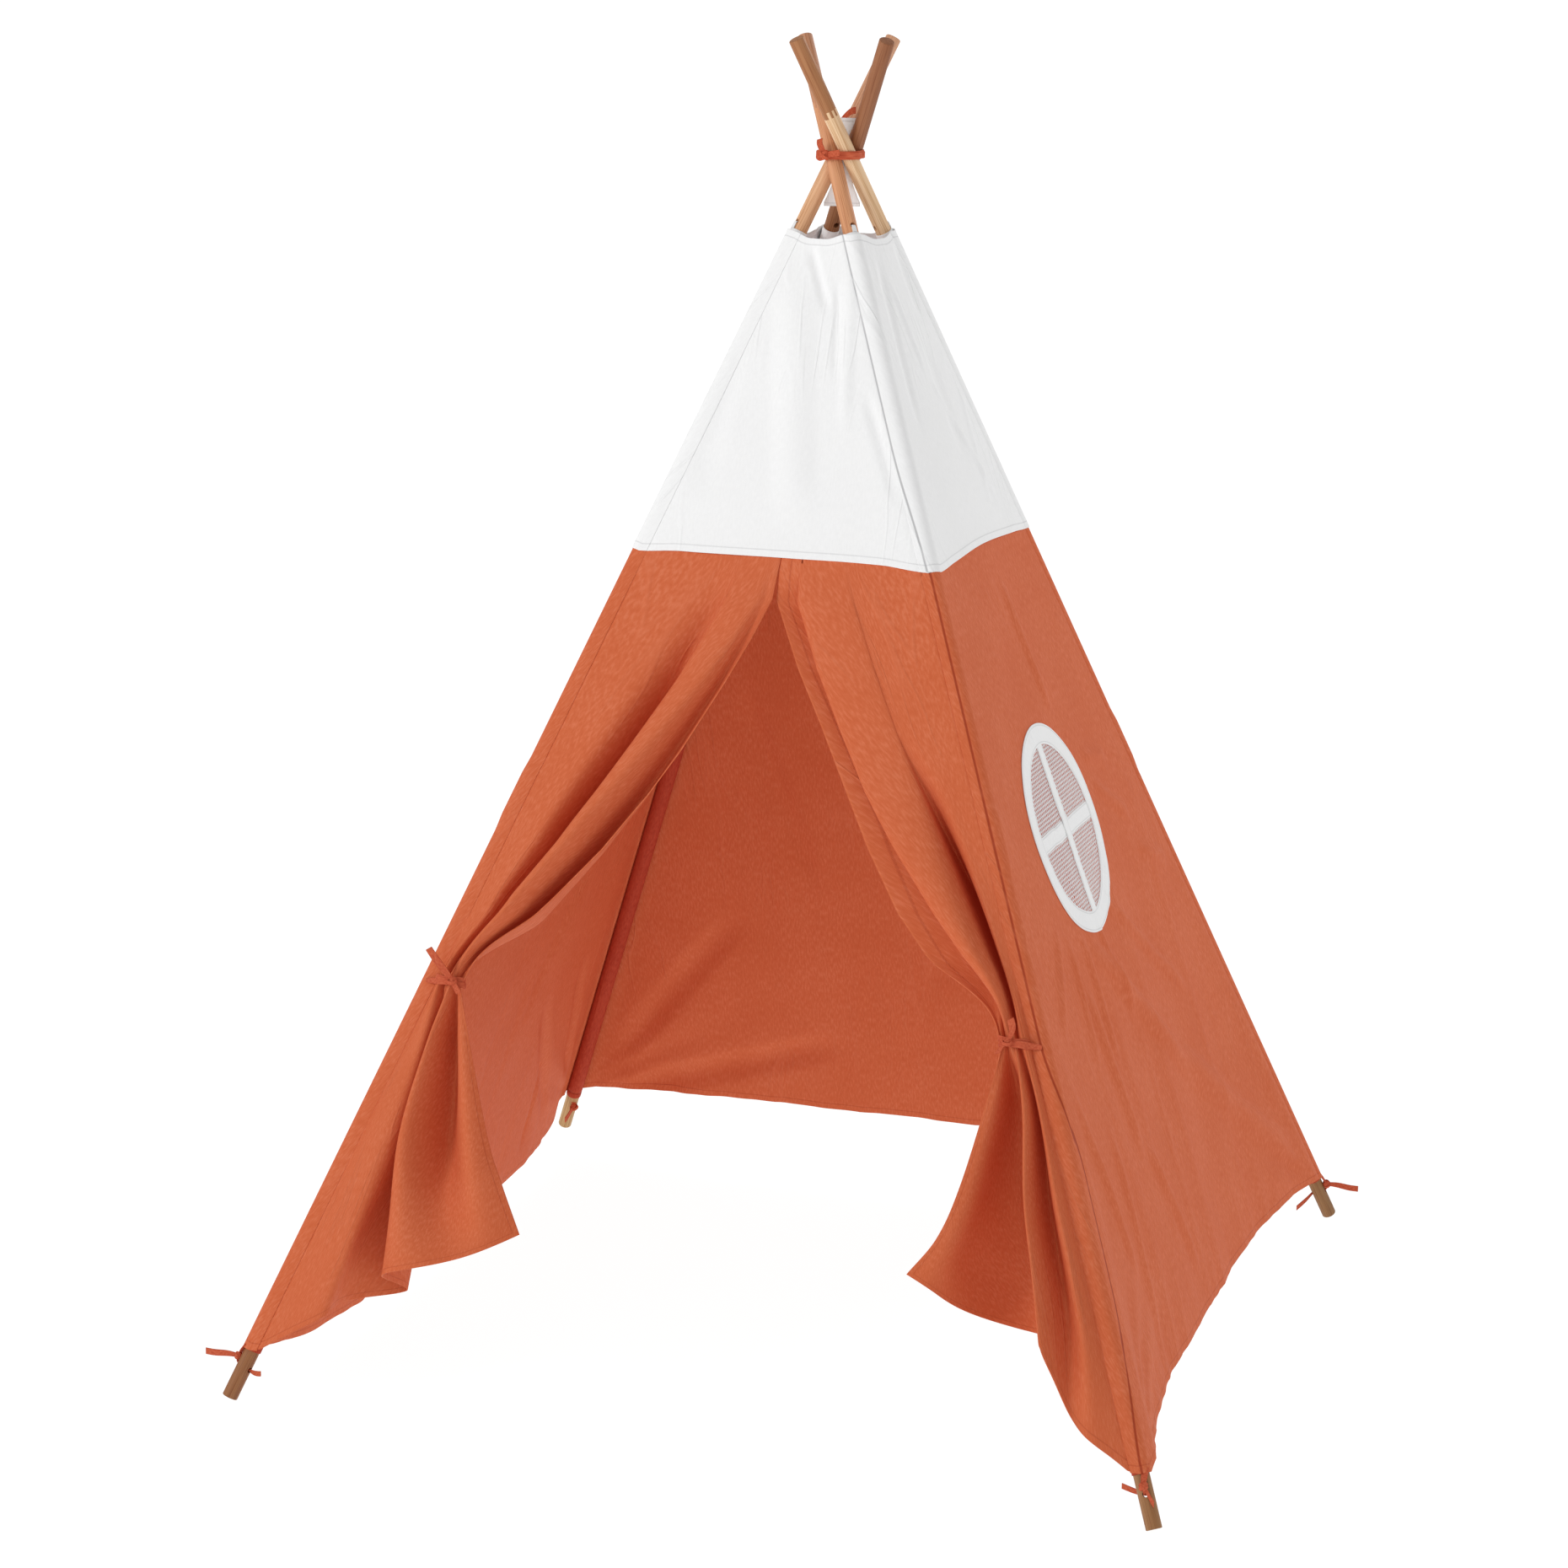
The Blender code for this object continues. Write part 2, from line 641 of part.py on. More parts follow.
def make_cap_panel(panel):
    stations = panel_stations(panel, [0.25, 0.5, 0.75])
    heights = [lerp(CAP_TOP, CAP_HEM, share) for share in (0, 0.25, 0.5, 0.75, 1)]

    def place(column, row):
        return stations[column](heights[row], CAP_LIFT)

    return sheet(f"cap_{panel}", len(stations) - 1, len(heights) - 1, place, CLOTH, white)


# Door flaps


def seam_x(side, height):
    """X of the corner seam beside a front pole."""
    distance = {"from_left" if side == "left" else "from_right": SEAM_FROM_POLE + GAP}
    return face_point("front", height, **distance).x


def bundle_start(side):
    """X of the bundle's edge beside the seam: the tie's tape passes between the two."""
    room = TAPE_THICKNESS + 2 * GAP + CLOTH / 2
    return seam_x(side, TIE_HEIGHT + TIE_NECK) - side_sign(side) * room


def side_sign(side):
    return -1.0 if side == "left" else 1.0


def between_keys(keys, share):
    """Values of (share, *values) keys at a share, passing each key smoothly."""
    for before, after in zip(keys, keys[1:]):
        if share <= after[0]:
            eased = smooth((share - before[0]) / (after[0] - before[0]))
            straight = (share - before[0]) / (after[0] - before[0])
            part = (eased + straight) / 2
            return [lerp(a, b, part) for a, b in zip(before[1:], after[1:])]
    return list(keys[-1][1:])


def bundle_point(side, share):
    """X and depth of a place across the flap where the tie gathers it."""
    x = bundle_start(side) - side_sign(side) * BUNDLE_WIDTH * share
    room = math.sqrt(max(1 - (2 * share - 1) ** 2, 0.0))
    wave = math.sin(2 * math.pi * FLAP_FOLDS * share)
    return x, BUNDLE_FORWARD + BUNDLE_DEPTH * room * wave


def upper_flap(side, share, down):
    """A place of the flap above its tie: across from the pole to the door, and down from the cap to the tie."""
    sign = side_sign(side)
    top, neck = CAP_HEM + CAP_OVERLAP, TIE_HEIGHT + TIE_NECK
    height = lerp(top, neck, down)
    slit = DOOR_SLIT + sign * SLIT_GAP / 2
    start = lerp(seam_x(side, top), slit, share)
    gathered, gathered_depth = bundle_point(side, share)
    straight = lerp(start, gathered, down)
    x = straight - sign * FLAP_EDGE_SAG * share**1.5 * down * (1 - down)
    pulled = smooth((down - 0.5) / 0.5)
    if share == 0:
        x = seam_x(side, height) + (gathered - seam_x(side, neck)) * pulled
    wave = math.sin(2 * math.pi * FLAP_FOLDS * share) * smooth(share * 6)
    soft = FOLD_DEPTH * wave * math.sin(math.pi * down) ** 0.8 * (1 - 0.4 * share)
    depth = soft * smooth(down * 4) + gathered_depth * pulled
    return front_point(x, height, depth)


def lower_flap(side, share, down):
    """A place of the flap below its tie, where it fans out to its hem."""
    sign = side_sign(side)
    neck = TIE_HEIGHT - TIE_NECK
    corner = (0.0, abs(seam_x(side, WALL_HEM)), WALL_HEM, 0.0)
    hem_x, hem_z, hem_depth = between_keys((corner, *FLAP_HEMS[side]), share)
    gathered, gathered_depth = bundle_point(side, share)
    height = lerp(neck, hem_z, down)
    x = lerp(gathered, sign * hem_x, down**0.92)
    if share == 0:
        x = seam_x(side, height) + (gathered - seam_x(side, neck)) * smooth(1 - 2 * down)
    depth = lerp(gathered_depth, hem_depth, smooth(2 * down))
    return front_point(x, height, depth)


def make_flap(side):
    rows = UPPER_ROWS + 1 + LOWER_ROWS

    def place(column, row):
        share = column / FLAP_COLUMNS
        if row <= UPPER_ROWS:
            return upper_flap(side, share, row / UPPER_ROWS)
        return lower_flap(side, share, (row - UPPER_ROWS - 1) / LOWER_ROWS)

    return sheet(f"door_flap_{side}", FLAP_COLUMNS, rows, place, CLOTH, terracotta)


def make_tieback(side):
    """The tape round a gathered flap, with its knot and tail in front."""
    sign = side_sign(side)
    middle = bundle_start(side) - sign * BUNDLE_WIDTH / 2
    half_width = BUNDLE_WIDTH / 2 + CLOTH / 2 + GAP
    half_depth = BUNDLE_DEPTH + CLOTH + 2 * GAP
    lay = Matrix.Identity(4)
    normal = face_normal("front")
    upslope = normal.cross(Vector((1, 0, 0)))
    if upslope.z < 0:
        upslope.negate()
    lay.col[0] = (1, 0, 0, 0)
    lay.col[1] = (*normal, 0)
    lay.col[2] = (*Vector((1, 0, 0)).cross(normal), 0)
    lay.translation = front_point(middle, TIE_HEIGHT, BUNDLE_FORWARD)
    deep = half_depth + TAPE_THICKNESS
    inner = rounded_points(half_width, half_depth)
    outer = rounded_points(half_width + TAPE_THICKNESS, deep)
    band = flat_piece(f"tieback_{side}", [outer, inner], TAPE_WIDTH, terracotta)
    band.matrix_world = lay

    knot_place = lay @ Vector((-sign * TIE_KNOT_ASIDE, deep + TIE_KNOT_PROUD, 0))
    knot = lump("tieback_knot", Vector(), TIE_KNOT_HALF, terracotta, None, cutters)
    knot.matrix_world = Matrix.Translation(knot_place) @ lay.to_3x3().to_4x4()
    combine(band, knot, "UNION")
    end = knot_place + Vector((sign * TIE_TAIL.x, TIE_TAIL.y, TIE_TAIL.z))
    points = [knot_place, lerp(knot_place, end, 0.5) + Vector((0, -0.003, 0)), end]
    widths = [TAPE_WIDTH * PINCHED, TAPE_WIDTH, TAPE_WIDTH]
    tail_side = Vector((math.sqrt(1 - TIE_TAIL_TILT**2), 0, -sign * TIE_TAIL_TILT))
    tail = ribbon("tieback_tail", points, widths, [tail_side] * 3, terracotta, None, cutters)
    combine(band, tail, "UNION")


# Window


def bend_to_wall(made, lift):
    """Lays a flat piece on the right wall, its middle at a lift from the middle of the wall's cloth."""
    for vertex in made.data.vertices:
        across, up, over = vertex.co
        vertex.co = window_point(across, up, lift + over)


def make_window(wall):
    inner = WINDOW_RADIUS - WINDOW_RING_WIDTH
    hole = inner + WINDOW_LAP
    tool = flat_piece("window_cut", [circle_points(hole, 48)], 12 * CLOTH, None)
    bend_to_wall(tool, 0.0)
    tent.objects.unlink(tool)
    cutters.objects.link(tool)
    combine(wall, tool, "DIFFERENCE")

    on_wall = CLOTH + GAP
    ring = flat_piece("window_ring", [circle_points(WINDOW_RADIUS, 48), circle_points(inner, 48)], CLOTH, white)
    bend_to_wall(ring, on_wall)

    half, reach = WINDOW_BAR_WIDTH / 2, inner - 2 * GAP
    shoulder = math.sqrt(reach**2 - half**2)
    arm = [(half, half), (shoulder, half), (shoulder, -half)]
    outline = []
    for quarter in range(4):
        turn = Matrix.Rotation(-math.pi / 2 * quarter, 2)
        outline += [tuple(turn @ Vector(point)) for point in arm]
    cross = flat_piece("window_cross", [outline], CLOTH, white)
    bend_to_wall(cross, on_wall)

    net_radius = hole - 2 * GAP
    net = flat_piece("window_net", [circle_points(net_radius, 48), *net_holes(inner)], NET_THICKNESS, white)
    bend_to_wall(net, on_wall - CLOTH / 2 - GAP - NET_THICKNESS / 2)


def net_holes(reach):
    """Hexagonal gaps in rows, left out behind the cross bars and the ring."""
    radius = (NET_PITCH - NET_STRAND) / math.sqrt(3)
    row_step = NET_PITCH * math.sqrt(3) / 2
    limit = int(reach / row_step) + 1
    bar = WINDOW_BAR_WIDTH / 2
    holes = []
    for row in range(-limit, limit + 1):
        shift = NET_PITCH / 2 if row % 2 else 0.0
        for column in range(-limit - 1, limit + 2):
            x, y = column * NET_PITCH + shift, row * row_step
            inside = math.hypot(x, y) + radius < reach
            if inside and min(abs(x), abs(y)) > bar + radius * 0.6:
                holes.append(circle_points(radius, 6, (x, y), math.pi / 6))
    return holes


# Lashing and tag at the crossing


def bundle_reach(half_height):
    """How far the four poles reach from the centre line within a height of the crossing."""
    out = half_height * math.tan(TILT)
    reach = 0.0
    for step in range(72):
        turn = 2 * math.pi * step / 72
        side = SIDESTEP + POLE_RADIUS * math.cos(turn)
        radial = out + POLE_RADIUS / math.cos(TILT) * math.sin(turn)
        reach = max(reach, math.hypot(side, radial))
    return reach


def make_lashing():
    inner = bundle_reach(LASHING_WIDTH / 2) + 2 * GAP
    outer = inner + TAPE_THICKNESS
    top, bottom = LASHING_WIDTH / 2, -LASHING_WIDTH / 2
    band = turned(
        "lashing_tape", [(outer, top), (outer, bottom), (inner, bottom), (inner, top)], terracotta, None, True, LASHING_SIDES
    )
    band.location = (0, 0, CROSSING_HEIGHT)

    direction = Vector((math.cos(LASHING_KNOT_TURN), math.sin(LASHING_KNOT_TURN), 0))
    centre = direction * (outer + GAP + LASHING_KNOT_HALF.x) + Vector((0, 0, CROSSING_HEIGHT))
    knot = lump("lashing_knot", Vector(), LASHING_KNOT_HALF, terracotta)
    knot.matrix_world = Matrix.Translation(centre) @ Matrix.Rotation(LASHING_KNOT_TURN, 4, "Z")
    for name, (step, tall) in LASHING_ENDS.items():
        end = centre + step
        points = [centre, lerp(centre, end, 0.6) + direction * 0.002, end + direction * 0.001]
        widths = [TAPE_WIDTH * PINCHED, TAPE_WIDTH, TAPE_WIDTH * 0.8]
        tail = ribbon(name, points, widths, [tall] * 3, terracotta, None, cutters)
        combine(knot, tail, "UNION")

    start = (*LASHING_LOOP_START, top + GAP + TAPE_WIDTH / 2)
    points = [Vector(step) + Vector((0, 0, CROSSING_HEIGHT)) for step in (start, *LASHING_LOOP)]
    widths = [TAPE_WIDTH] * len(points)
    ribbon("lashing_loop", points, widths, [Vector((0, 0, 1))] * len(points), terracotta)


def make_tag():
    """A plain cloth tag that hangs through the middle of the crossing, drawn in where the poles pass it."""
    across = Vector((math.cos(TAG_TURN), math.sin(TAG_TURN), 0))
    columns, rows = 6, 16

    to_poles = [pole_frame(pole).inverted() for pole in POLES]
    clear = POLE_RADIUS + TAG_THICKNESS / 2 + GAP
    step = 0.0002

    def room(height):
        """The distance from the centre line that is free of poles, along the tag."""
        width = 0.0
        while width < TAG_WIDTH / 2:
            for side in (-1, 1):
                edge = across * side * (width + step) + Vector((0, 0, height))
                if any((to_pole @ edge).xy.length < clear for to_pole in to_poles):
                    return width
            width += step
        return TAG_WIDTH / 2

    def place(column, row):
        height = CROSSING_HEIGHT + lerp(-TAG_BELOW, TAG_ABOVE, row / rows)
        half = min(room(height + nearby) for nearby in (-0.003, 0.0, 0.003))
        return across * half * (2 * column / columns - 1) + Vector((0, 0, height))

    sheet("blank_tag", columns, rows, place, TAG_THICKNESS, white)


clear_scene()
tent = new_collection("play_tent")
cutters = new_collection("cutters")
terracotta = new_material("terracotta_cloth", (0.62, 0.18, 0.07), 0.85)
white = new_material("white_cloth", (0.86, 0.86, 0.85), 0.85)
wood = new_material("pine_dowel", (0.60, 0.36, 0.18), 0.55)
socket_plastic = new_material("socket_plastic", (0.10, 0.10, 0.10), 0.45)

for pole_name in POLES:
    make_pole(pole_name)
for panel_name in ("right", "back", "left"):
    wall_made = make_wall(panel_name)
    if panel_name == "right":
        make_window(wall_made)
for panel_name in FACES:
    make_cap_panel(panel_name)
for flap_side in ("left", "right"):
    make_flap(flap_side)
    make_tieback(flap_side)
make_lashing()
make_tag()
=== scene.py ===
# %% [markdown]
# # A play tent, dressed for its portrait
#
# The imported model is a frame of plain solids: four poles that lean together, and a cover of flat cloth.
# This lesson keeps every place and joint of that frame and builds the looks around it.
# A tent is mostly sheets, so most of the work is in placing the points of fine grids.

# %% Load the frame
import math

import bmesh
import bpy
from mathutils import Matrix, Vector, noise
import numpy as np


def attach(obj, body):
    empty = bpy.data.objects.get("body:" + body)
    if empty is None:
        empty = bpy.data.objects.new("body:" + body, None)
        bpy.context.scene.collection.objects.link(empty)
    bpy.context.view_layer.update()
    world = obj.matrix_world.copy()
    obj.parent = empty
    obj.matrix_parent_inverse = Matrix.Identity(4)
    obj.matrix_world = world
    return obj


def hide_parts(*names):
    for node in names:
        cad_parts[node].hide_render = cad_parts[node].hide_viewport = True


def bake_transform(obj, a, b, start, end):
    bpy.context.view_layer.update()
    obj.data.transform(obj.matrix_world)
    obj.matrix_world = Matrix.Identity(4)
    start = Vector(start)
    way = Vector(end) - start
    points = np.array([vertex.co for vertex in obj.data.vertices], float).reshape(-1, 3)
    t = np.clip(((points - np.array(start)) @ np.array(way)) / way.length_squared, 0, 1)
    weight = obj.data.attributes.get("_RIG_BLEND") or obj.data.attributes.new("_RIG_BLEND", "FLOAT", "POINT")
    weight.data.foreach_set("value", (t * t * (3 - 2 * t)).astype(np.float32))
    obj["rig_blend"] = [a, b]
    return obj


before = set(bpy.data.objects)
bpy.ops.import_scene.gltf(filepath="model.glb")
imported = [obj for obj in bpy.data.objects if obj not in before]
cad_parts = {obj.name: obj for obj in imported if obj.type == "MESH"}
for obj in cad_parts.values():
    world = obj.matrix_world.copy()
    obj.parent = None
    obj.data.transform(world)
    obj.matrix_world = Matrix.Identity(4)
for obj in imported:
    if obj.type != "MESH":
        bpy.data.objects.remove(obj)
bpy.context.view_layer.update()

# %% [markdown]
# ## Sizes
#
# The scene can't read the part's source, so it repeats the named sizes that it needs, in metres.
# With the same names and the same few formulas, every new piece lies where its solid lies.

# %% Sizes of the frame
# Poles, and the sockets that join their halves
FOOT_SPACING = 1.200
CROSSING_HEIGHT = 1.553
POLE_ABOVE_CROSSING = 0.166
POLE_RADIUS = 0.010
POLE_HOLE_RADIUS = 0.00375
FOOT_HOLE_FROM_END = 0.042
TOP_HOLE_BELOW_CROSSING = 0.102
GAP = 0.0003  # between pieces that touch
SOCKET_FROM_TOP = 1.084
SOCKET_LENGTH = 0.060
SOCKET_WALL = 0.0012

# Cover, cap and sleeves
CLOTH = 0.0012
SLEEVE_CLOTH = 0.0010
SLEEVE_FROM_END = 0.066
SLEEVE_TOP_BELOW_CROSSING = 0.112
SLEEVE_RAMP = 0.020
COVER_CLEARANCE = 0.0005
SEAM_FROM_POLE = 0.011
CAP_TOP_BELOW_CROSSING = 0.097
CAP_HEM = 1.052
CAP_OVERLAP = 0.010
WALL_HEM = 0.062
WALL_HEM_RISE = {"right": 0.022, "back": 0.044, "left": -0.028}  # how each hem lies between its poles
WALL_SLACK = 0.038
SLACK_MARGIN = 0.030

# Window
WINDOW_HEIGHT = 0.707
WINDOW_TO_FRONT = 0.067
WINDOW_RADIUS = 0.140
WINDOW_RING_WIDTH = 0.028
WINDOW_BAR_WIDTH = 0.022
WINDOW_LAP = 0.006

# Door flaps in their ties
TIE_HEIGHT = 0.520
TIE_NECK = 0.007
BUNDLE_WIDTH = 0.034
BUNDLE_DEPTH = 0.007
BUNDLE_FORWARD = 0.004

# Tapes and tag
TAPE_WIDTH = 0.0085
TAPE_THICKNESS = 0.0012
LASHING_WIDTH = 0.0105
LASHING_KNOT_TURN = math.radians(-122)
KNOT_FROM_END = 0.051
TAPE_REACH = 0.053
TAG_WIDTH = 0.046
TAG_ABOVE = 0.046
TAG_BELOW = 0.066
TAG_THICKNESS = 0.0008
TAG_TURN = math.radians(16)

# The direction of each pole's foot, in degrees. Each face has a left pole, a right pole and a direction.
POLES = {"front_left": 225, "front_right": 315, "back_right": 45, "back_left": 135}
FACES = {
    "front": ("front_left", "front_right", 270),
    "right": ("front_right", "back_right", 0),
    "back": ("back_right", "back_left", 90),
    "left": ("back_left", "front_left", 180),
}

# %% Sizes worked out from them
RADIAL_SPACING = FOOT_SPACING / math.sqrt(2)
TILT = math.atan2(RADIAL_SPACING, CROSSING_HEIGHT)
SLANT = math.atan(math.tan(TILT) / math.sqrt(2))
CORNER_TURN = math.acos(math.sin(SLANT) ** 2) / 2
SIDESTEP = (2 * POLE_RADIUS + GAP) * math.sqrt(1 + math.cos(TILT) ** 2) / (2 * math.cos(TILT))
POLE_END_CHAMFER = 0.0012  # of the solid; the dressed pole has a rounded arris
POLE_BELOW_CROSSING = (CROSSING_HEIGHT - (POLE_RADIUS - POLE_END_CHAMFER) * math.sin(TILT)) / math.cos(TILT)
SOCKET_MIDDLE = POLE_ABOVE_CROSSING - SOCKET_FROM_TOP
SLEEVE_RADIUS = POLE_RADIUS + GAP + SLEEVE_CLOTH
SOCKET_SWELL = SOCKET_WALL + GAP
CAP_TOP = CROSSING_HEIGHT - CAP_TOP_BELOW_CROSSING
FLAT_LIFT = SLEEVE_RADIUS + COVER_CLEARANCE + CLOTH / 2
CAP_LIFT = CLOTH + GAP
print("tilt of the poles %.2f deg, slant of the walls %.2f deg" % (math.degrees(TILT), math.degrees(SLANT)))

# %% [markdown]
# ## Camera
#
# The photograph was taken from a standing eye height, to the right of the door, with a long lens.
# The camera's numbers come from matching the feet, the crossing and the cap's corners to the picture.

# %% Camera
CAMERA_PLACE = Vector((1.355, -4.831, 1.881))
CAMERA_YAW, CAMERA_PITCH, CAMERA_ROLL = math.radians(-16.36), math.radians(-12.97), math.radians(1.05)
CAMERA_LENS, SENSOR_WIDTH, FARTHEST_SIGHT = 89.13, 36.0, 300.0
camera = bpy.data.objects.new("camera", bpy.data.cameras.new("camera"))
camera.data.lens, camera.data.sensor_width, camera.data.clip_end = CAMERA_LENS, SENSOR_WIDTH, FARTHEST_SIGHT
turned_head = Matrix.Rotation(-CAMERA_YAW, 4, "Z") @ Matrix.Rotation(math.pi / 2 + CAMERA_PITCH, 4, "X")
camera.matrix_world = Matrix.Translation(CAMERA_PLACE) @ turned_head @ Matrix.Rotation(CAMERA_ROLL, 4, "Z")
bpy.context.scene.collection.objects.link(camera)
bpy.context.scene.camera = camera
print("camera: a %.0f mm lens, %.1f m from the middle of the tent" % (CAMERA_LENS, CAMERA_PLACE.xy.length))

# %% [markdown]
# ## Places on the tent
#
# A pole's own frame has its origin at the crossing and +Z up the pole. The cover lies a fixed lift outside the
# flat faces between the poles, and turns round each pole in a small arc.


# %% Places on a pole
def smooth(share):
    """A share from 0 to 1, eased at both ends."""
    share = min(max(share, 0.0), 1.0)
    return share * share * (3 - 2 * share)


def lerp(a, b, share):
    """A number or a point part of the way between two."""
    return a + (b - a) * share


def outward(pole):
    turn = math.radians(POLES[pole])
    return Vector((math.cos(turn), math.sin(turn), 0))


def hinge_point(pole):
    """Where a pole passes the crossing, a sidestep off its middle, because the poles pass side by side."""
    turn = math.radians(POLES[pole])
    return Vector((-math.sin(turn), math.cos(turn), 0)) * -SIDESTEP + Vector((0, 0, CROSSING_HEIGHT))


def pole_frame(pole):
    turn = Matrix.Rotation(math.radians(POLES[pole]), 4, "Z") @ Matrix.Rotation(-TILT, 4, "Y")
    return Matrix.Translation(hinge_point(pole)) @ turn


def axis_at(pole, height):
    """The point of a pole's axis at a height."""
    out = (CROSSING_HEIGHT - height) * math.tan(TILT)
    return hinge_point(pole) + outward(pole) * out + Vector((0, 0, height - CROSSING_HEIGHT))


def both_poles(face, height):
    """The points of the axes of a face's left and right pole at a height."""
    return axis_at(FACES[face][0], height), axis_at(FACES[face][1], height)


def along_at(height):
    """How far up a pole a height lies, from the crossing."""
    return (height - CROSSING_HEIGHT) / math.cos(TILT)


def swell(along):
    """How much further out the cloth lies over the socket than on the bare pole."""
    past_socket = abs(along - SOCKET_MIDDLE) - SOCKET_LENGTH / 2 - GAP
    return SOCKET_SWELL * min(max(1 - past_socket / SLEEVE_RAMP, 0.0), 1.0)


# %% Places on a face of the cover
def face_normal(face):
    turn = math.radians(FACES[face][2])
    return Vector((math.cos(turn) * math.cos(SLANT), math.sin(turn) * math.cos(SLANT), math.sin(SLANT)))


def slack(face, share, height, width):
    """How far a wall hangs inside the plane of its poles."""
    if face == "front" or height > CAP_HEM:
        return 0.0
    margin = SLACK_MARGIN / width
    across = min(max((share - margin) / (1 - 2 * margin), 0.0), 1.0)
    down = (CAP_HEM - height) / (CAP_HEM - WALL_HEM)
    return WALL_SLACK * (1 - (2 * across - 1) ** 4) * down**3


def ripple(point, size):
    """A soft uneven swing between -1 and 1, with bumps of about this size."""
    return noise.noise(point / size)


# %% [markdown]
# ### Creases
#
# Cloth keeps creases from the bag it came in, and cloth under a pull makes long ones between its seams.
# The strongest ones are listed one by one: banks on the walls, and hollows, with a negative height, in the
# puckered top of the cap. Each one is rounded across and fades out at both ends.

# %% Creases
# Along the face and up it where a crease starts and ends, half its width, and how far it stands out.
CREASES = {
    "front": (
        (-0.026, 1.440, 0.013, 1.350, 0.010, -0.0034), (0.020, 1.400, 0.030, 1.270, 0.007, -0.0026),
        (0.070, 1.270, 0.140, 1.120, 0.012, -0.0030), (-0.045, 1.430, 0.000, 1.080, 0.036, 0.0050),
        (-0.110, 1.330, -0.134, 1.120, 0.030, -0.0030), (0.036, 1.420, 0.052, 1.200, 0.012, 0.0024),
    ),
    "right": (
        (-0.030, 1.440, -0.105, 1.200, 0.012, -0.0032), (-0.030, 1.400, -0.020, 1.258, 0.008, 0.0022),
        (-0.020, 1.280, 0.100, 1.085, 0.008, 0.0024), (0.085, 1.260, 0.054, 1.085, 0.007, 0.0018),
        (0.020, 1.440, 0.030, 1.340, 0.012, -0.0028), (0.010, 1.330, 0.020, 1.150, 0.020, -0.0026),
        (-0.235, 1.03, -0.300, 0.80, 0.014, 0.0040), (0.000, 1.02, 0.032, 0.83, 0.016, 0.0040),
        (-0.235, 0.62, -0.360, 0.50, 0.013, 0.0043), (-0.205, 0.61, -0.240, 0.44, 0.013, 0.0043),
        (-0.150, 0.60, -0.150, 0.42, 0.013, 0.0040), (-0.080, 0.60, -0.030, 0.44, 0.013, 0.0040),
        (-0.020, 0.61, 0.250, 0.41, 0.016, 0.0054), (-0.197, 0.55, -0.165, 0.30, 0.020, 0.0054),
        (-0.450, 0.52, -0.440, 0.34, 0.014, 0.0047), (-0.470, 0.42, -0.520, 0.18, 0.014, 0.0047),
        (-0.400, 0.50, -0.340, 0.20, 0.018, 0.0054), (-0.150, 0.34, -0.040, 0.12, 0.018, 0.0054),
        (-0.136, 0.58, 0.150, 0.33, 0.026, 0.0081), (0.080, 0.39, 0.540, 0.09, 0.034, 0.0108),
        (0.090, 0.765, 0.200, 0.75, 0.014, 0.0043), (0.100, 0.73, 0.220, 0.66, 0.016, 0.0043),
        (0.200, 0.62, 0.330, 0.58, 0.018, 0.0047), (-0.280, 0.40, -0.300, 0.11, 0.016, 0.0043),
    ),
    "back": (
        (-0.520, 0.10, -0.250, 0.42, 0.030, 0.0081), (-0.480, 0.09, -0.100, 0.22, 0.030, 0.0081),
        (-0.100, 0.95, 0.120, 0.62, 0.022, 0.0054), (0.300, 0.75, 0.020, 0.30, 0.026, 0.0063),
        (0.480, 0.10, 0.120, 0.30, 0.030, 0.0081), (-0.230, 0.80, -0.130, 0.45, 0.022, 0.0054),
    ),
    "left": (
        (0.480, 0.12, 0.330, 0.36, 0.022, 0.0065), (0.400, 0.08, 0.180, 0.34, 0.022, 0.0065),
        (0.200, 0.70, 0.100, 0.30, 0.020, 0.0054), (-0.050, 0.85, -0.220, 0.45, 0.022, 0.0054),
        (0.300, 0.06, 0.290, 0.22, 0.014, 0.0050), (-0.480, 0.12, -0.300, 0.36, 0.024, 0.0065),
    ),
}


def crease_lift(face, place):
    """How far the creases push a place of a wall outwards."""
    along = place.x if face in ("front", "back") else place.y
    lift = 0.0
    for start, start_height, end, end_height, width, high in CREASES.get(face, ()):
        run, climb = end - start, (end_height - start_height) / math.cos(SLANT)
        off, rise = along - start, (place.z - start_height) / math.cos(SLANT)
        part = (off * run + rise * climb) / (run * run + climb * climb)
        if 0 < part < 1:
            away = math.hypot(off - part * run, rise - part * climb) / width
            if away < 1:
                lift += high * (1 - away * away) ** 2 * smooth(4 * part) * smooth(4 - 4 * part)
    return lift


# %% [markdown]
# ### Unevenness
#
# Noise of a few sizes makes the cloth hang softly. All panels swing a little. The walls also have scallops
# along the hem, hanging folds, fine creases, and at each foot a fan of folds, where the corner tape pulls.

# %% Unevenness
# How far each kind moves the cloth, and the size of its bumps, in metres.
SWING, SWING_SIZE = 0.0034, 0.23
BUMP, BUMP_SIZE = 0.0011, 0.085
SCALLOP, SCALLOP_SIZE = 0.0022, 0.030
HANG, HANG_SIZE = 0.0045, 0.11
FINE_CREASE, FINE_CREASE_SIZE = 0.0010, 0.035
FAN, FAN_REACH, FAN_FOLDS = 0.0022, 0.42, 17
STILL = 0.004  # beside a pole the cloth doesn't move
FREE_WALL, FREE_CAP = 0.10, 0.016  # from there to where it moves fully


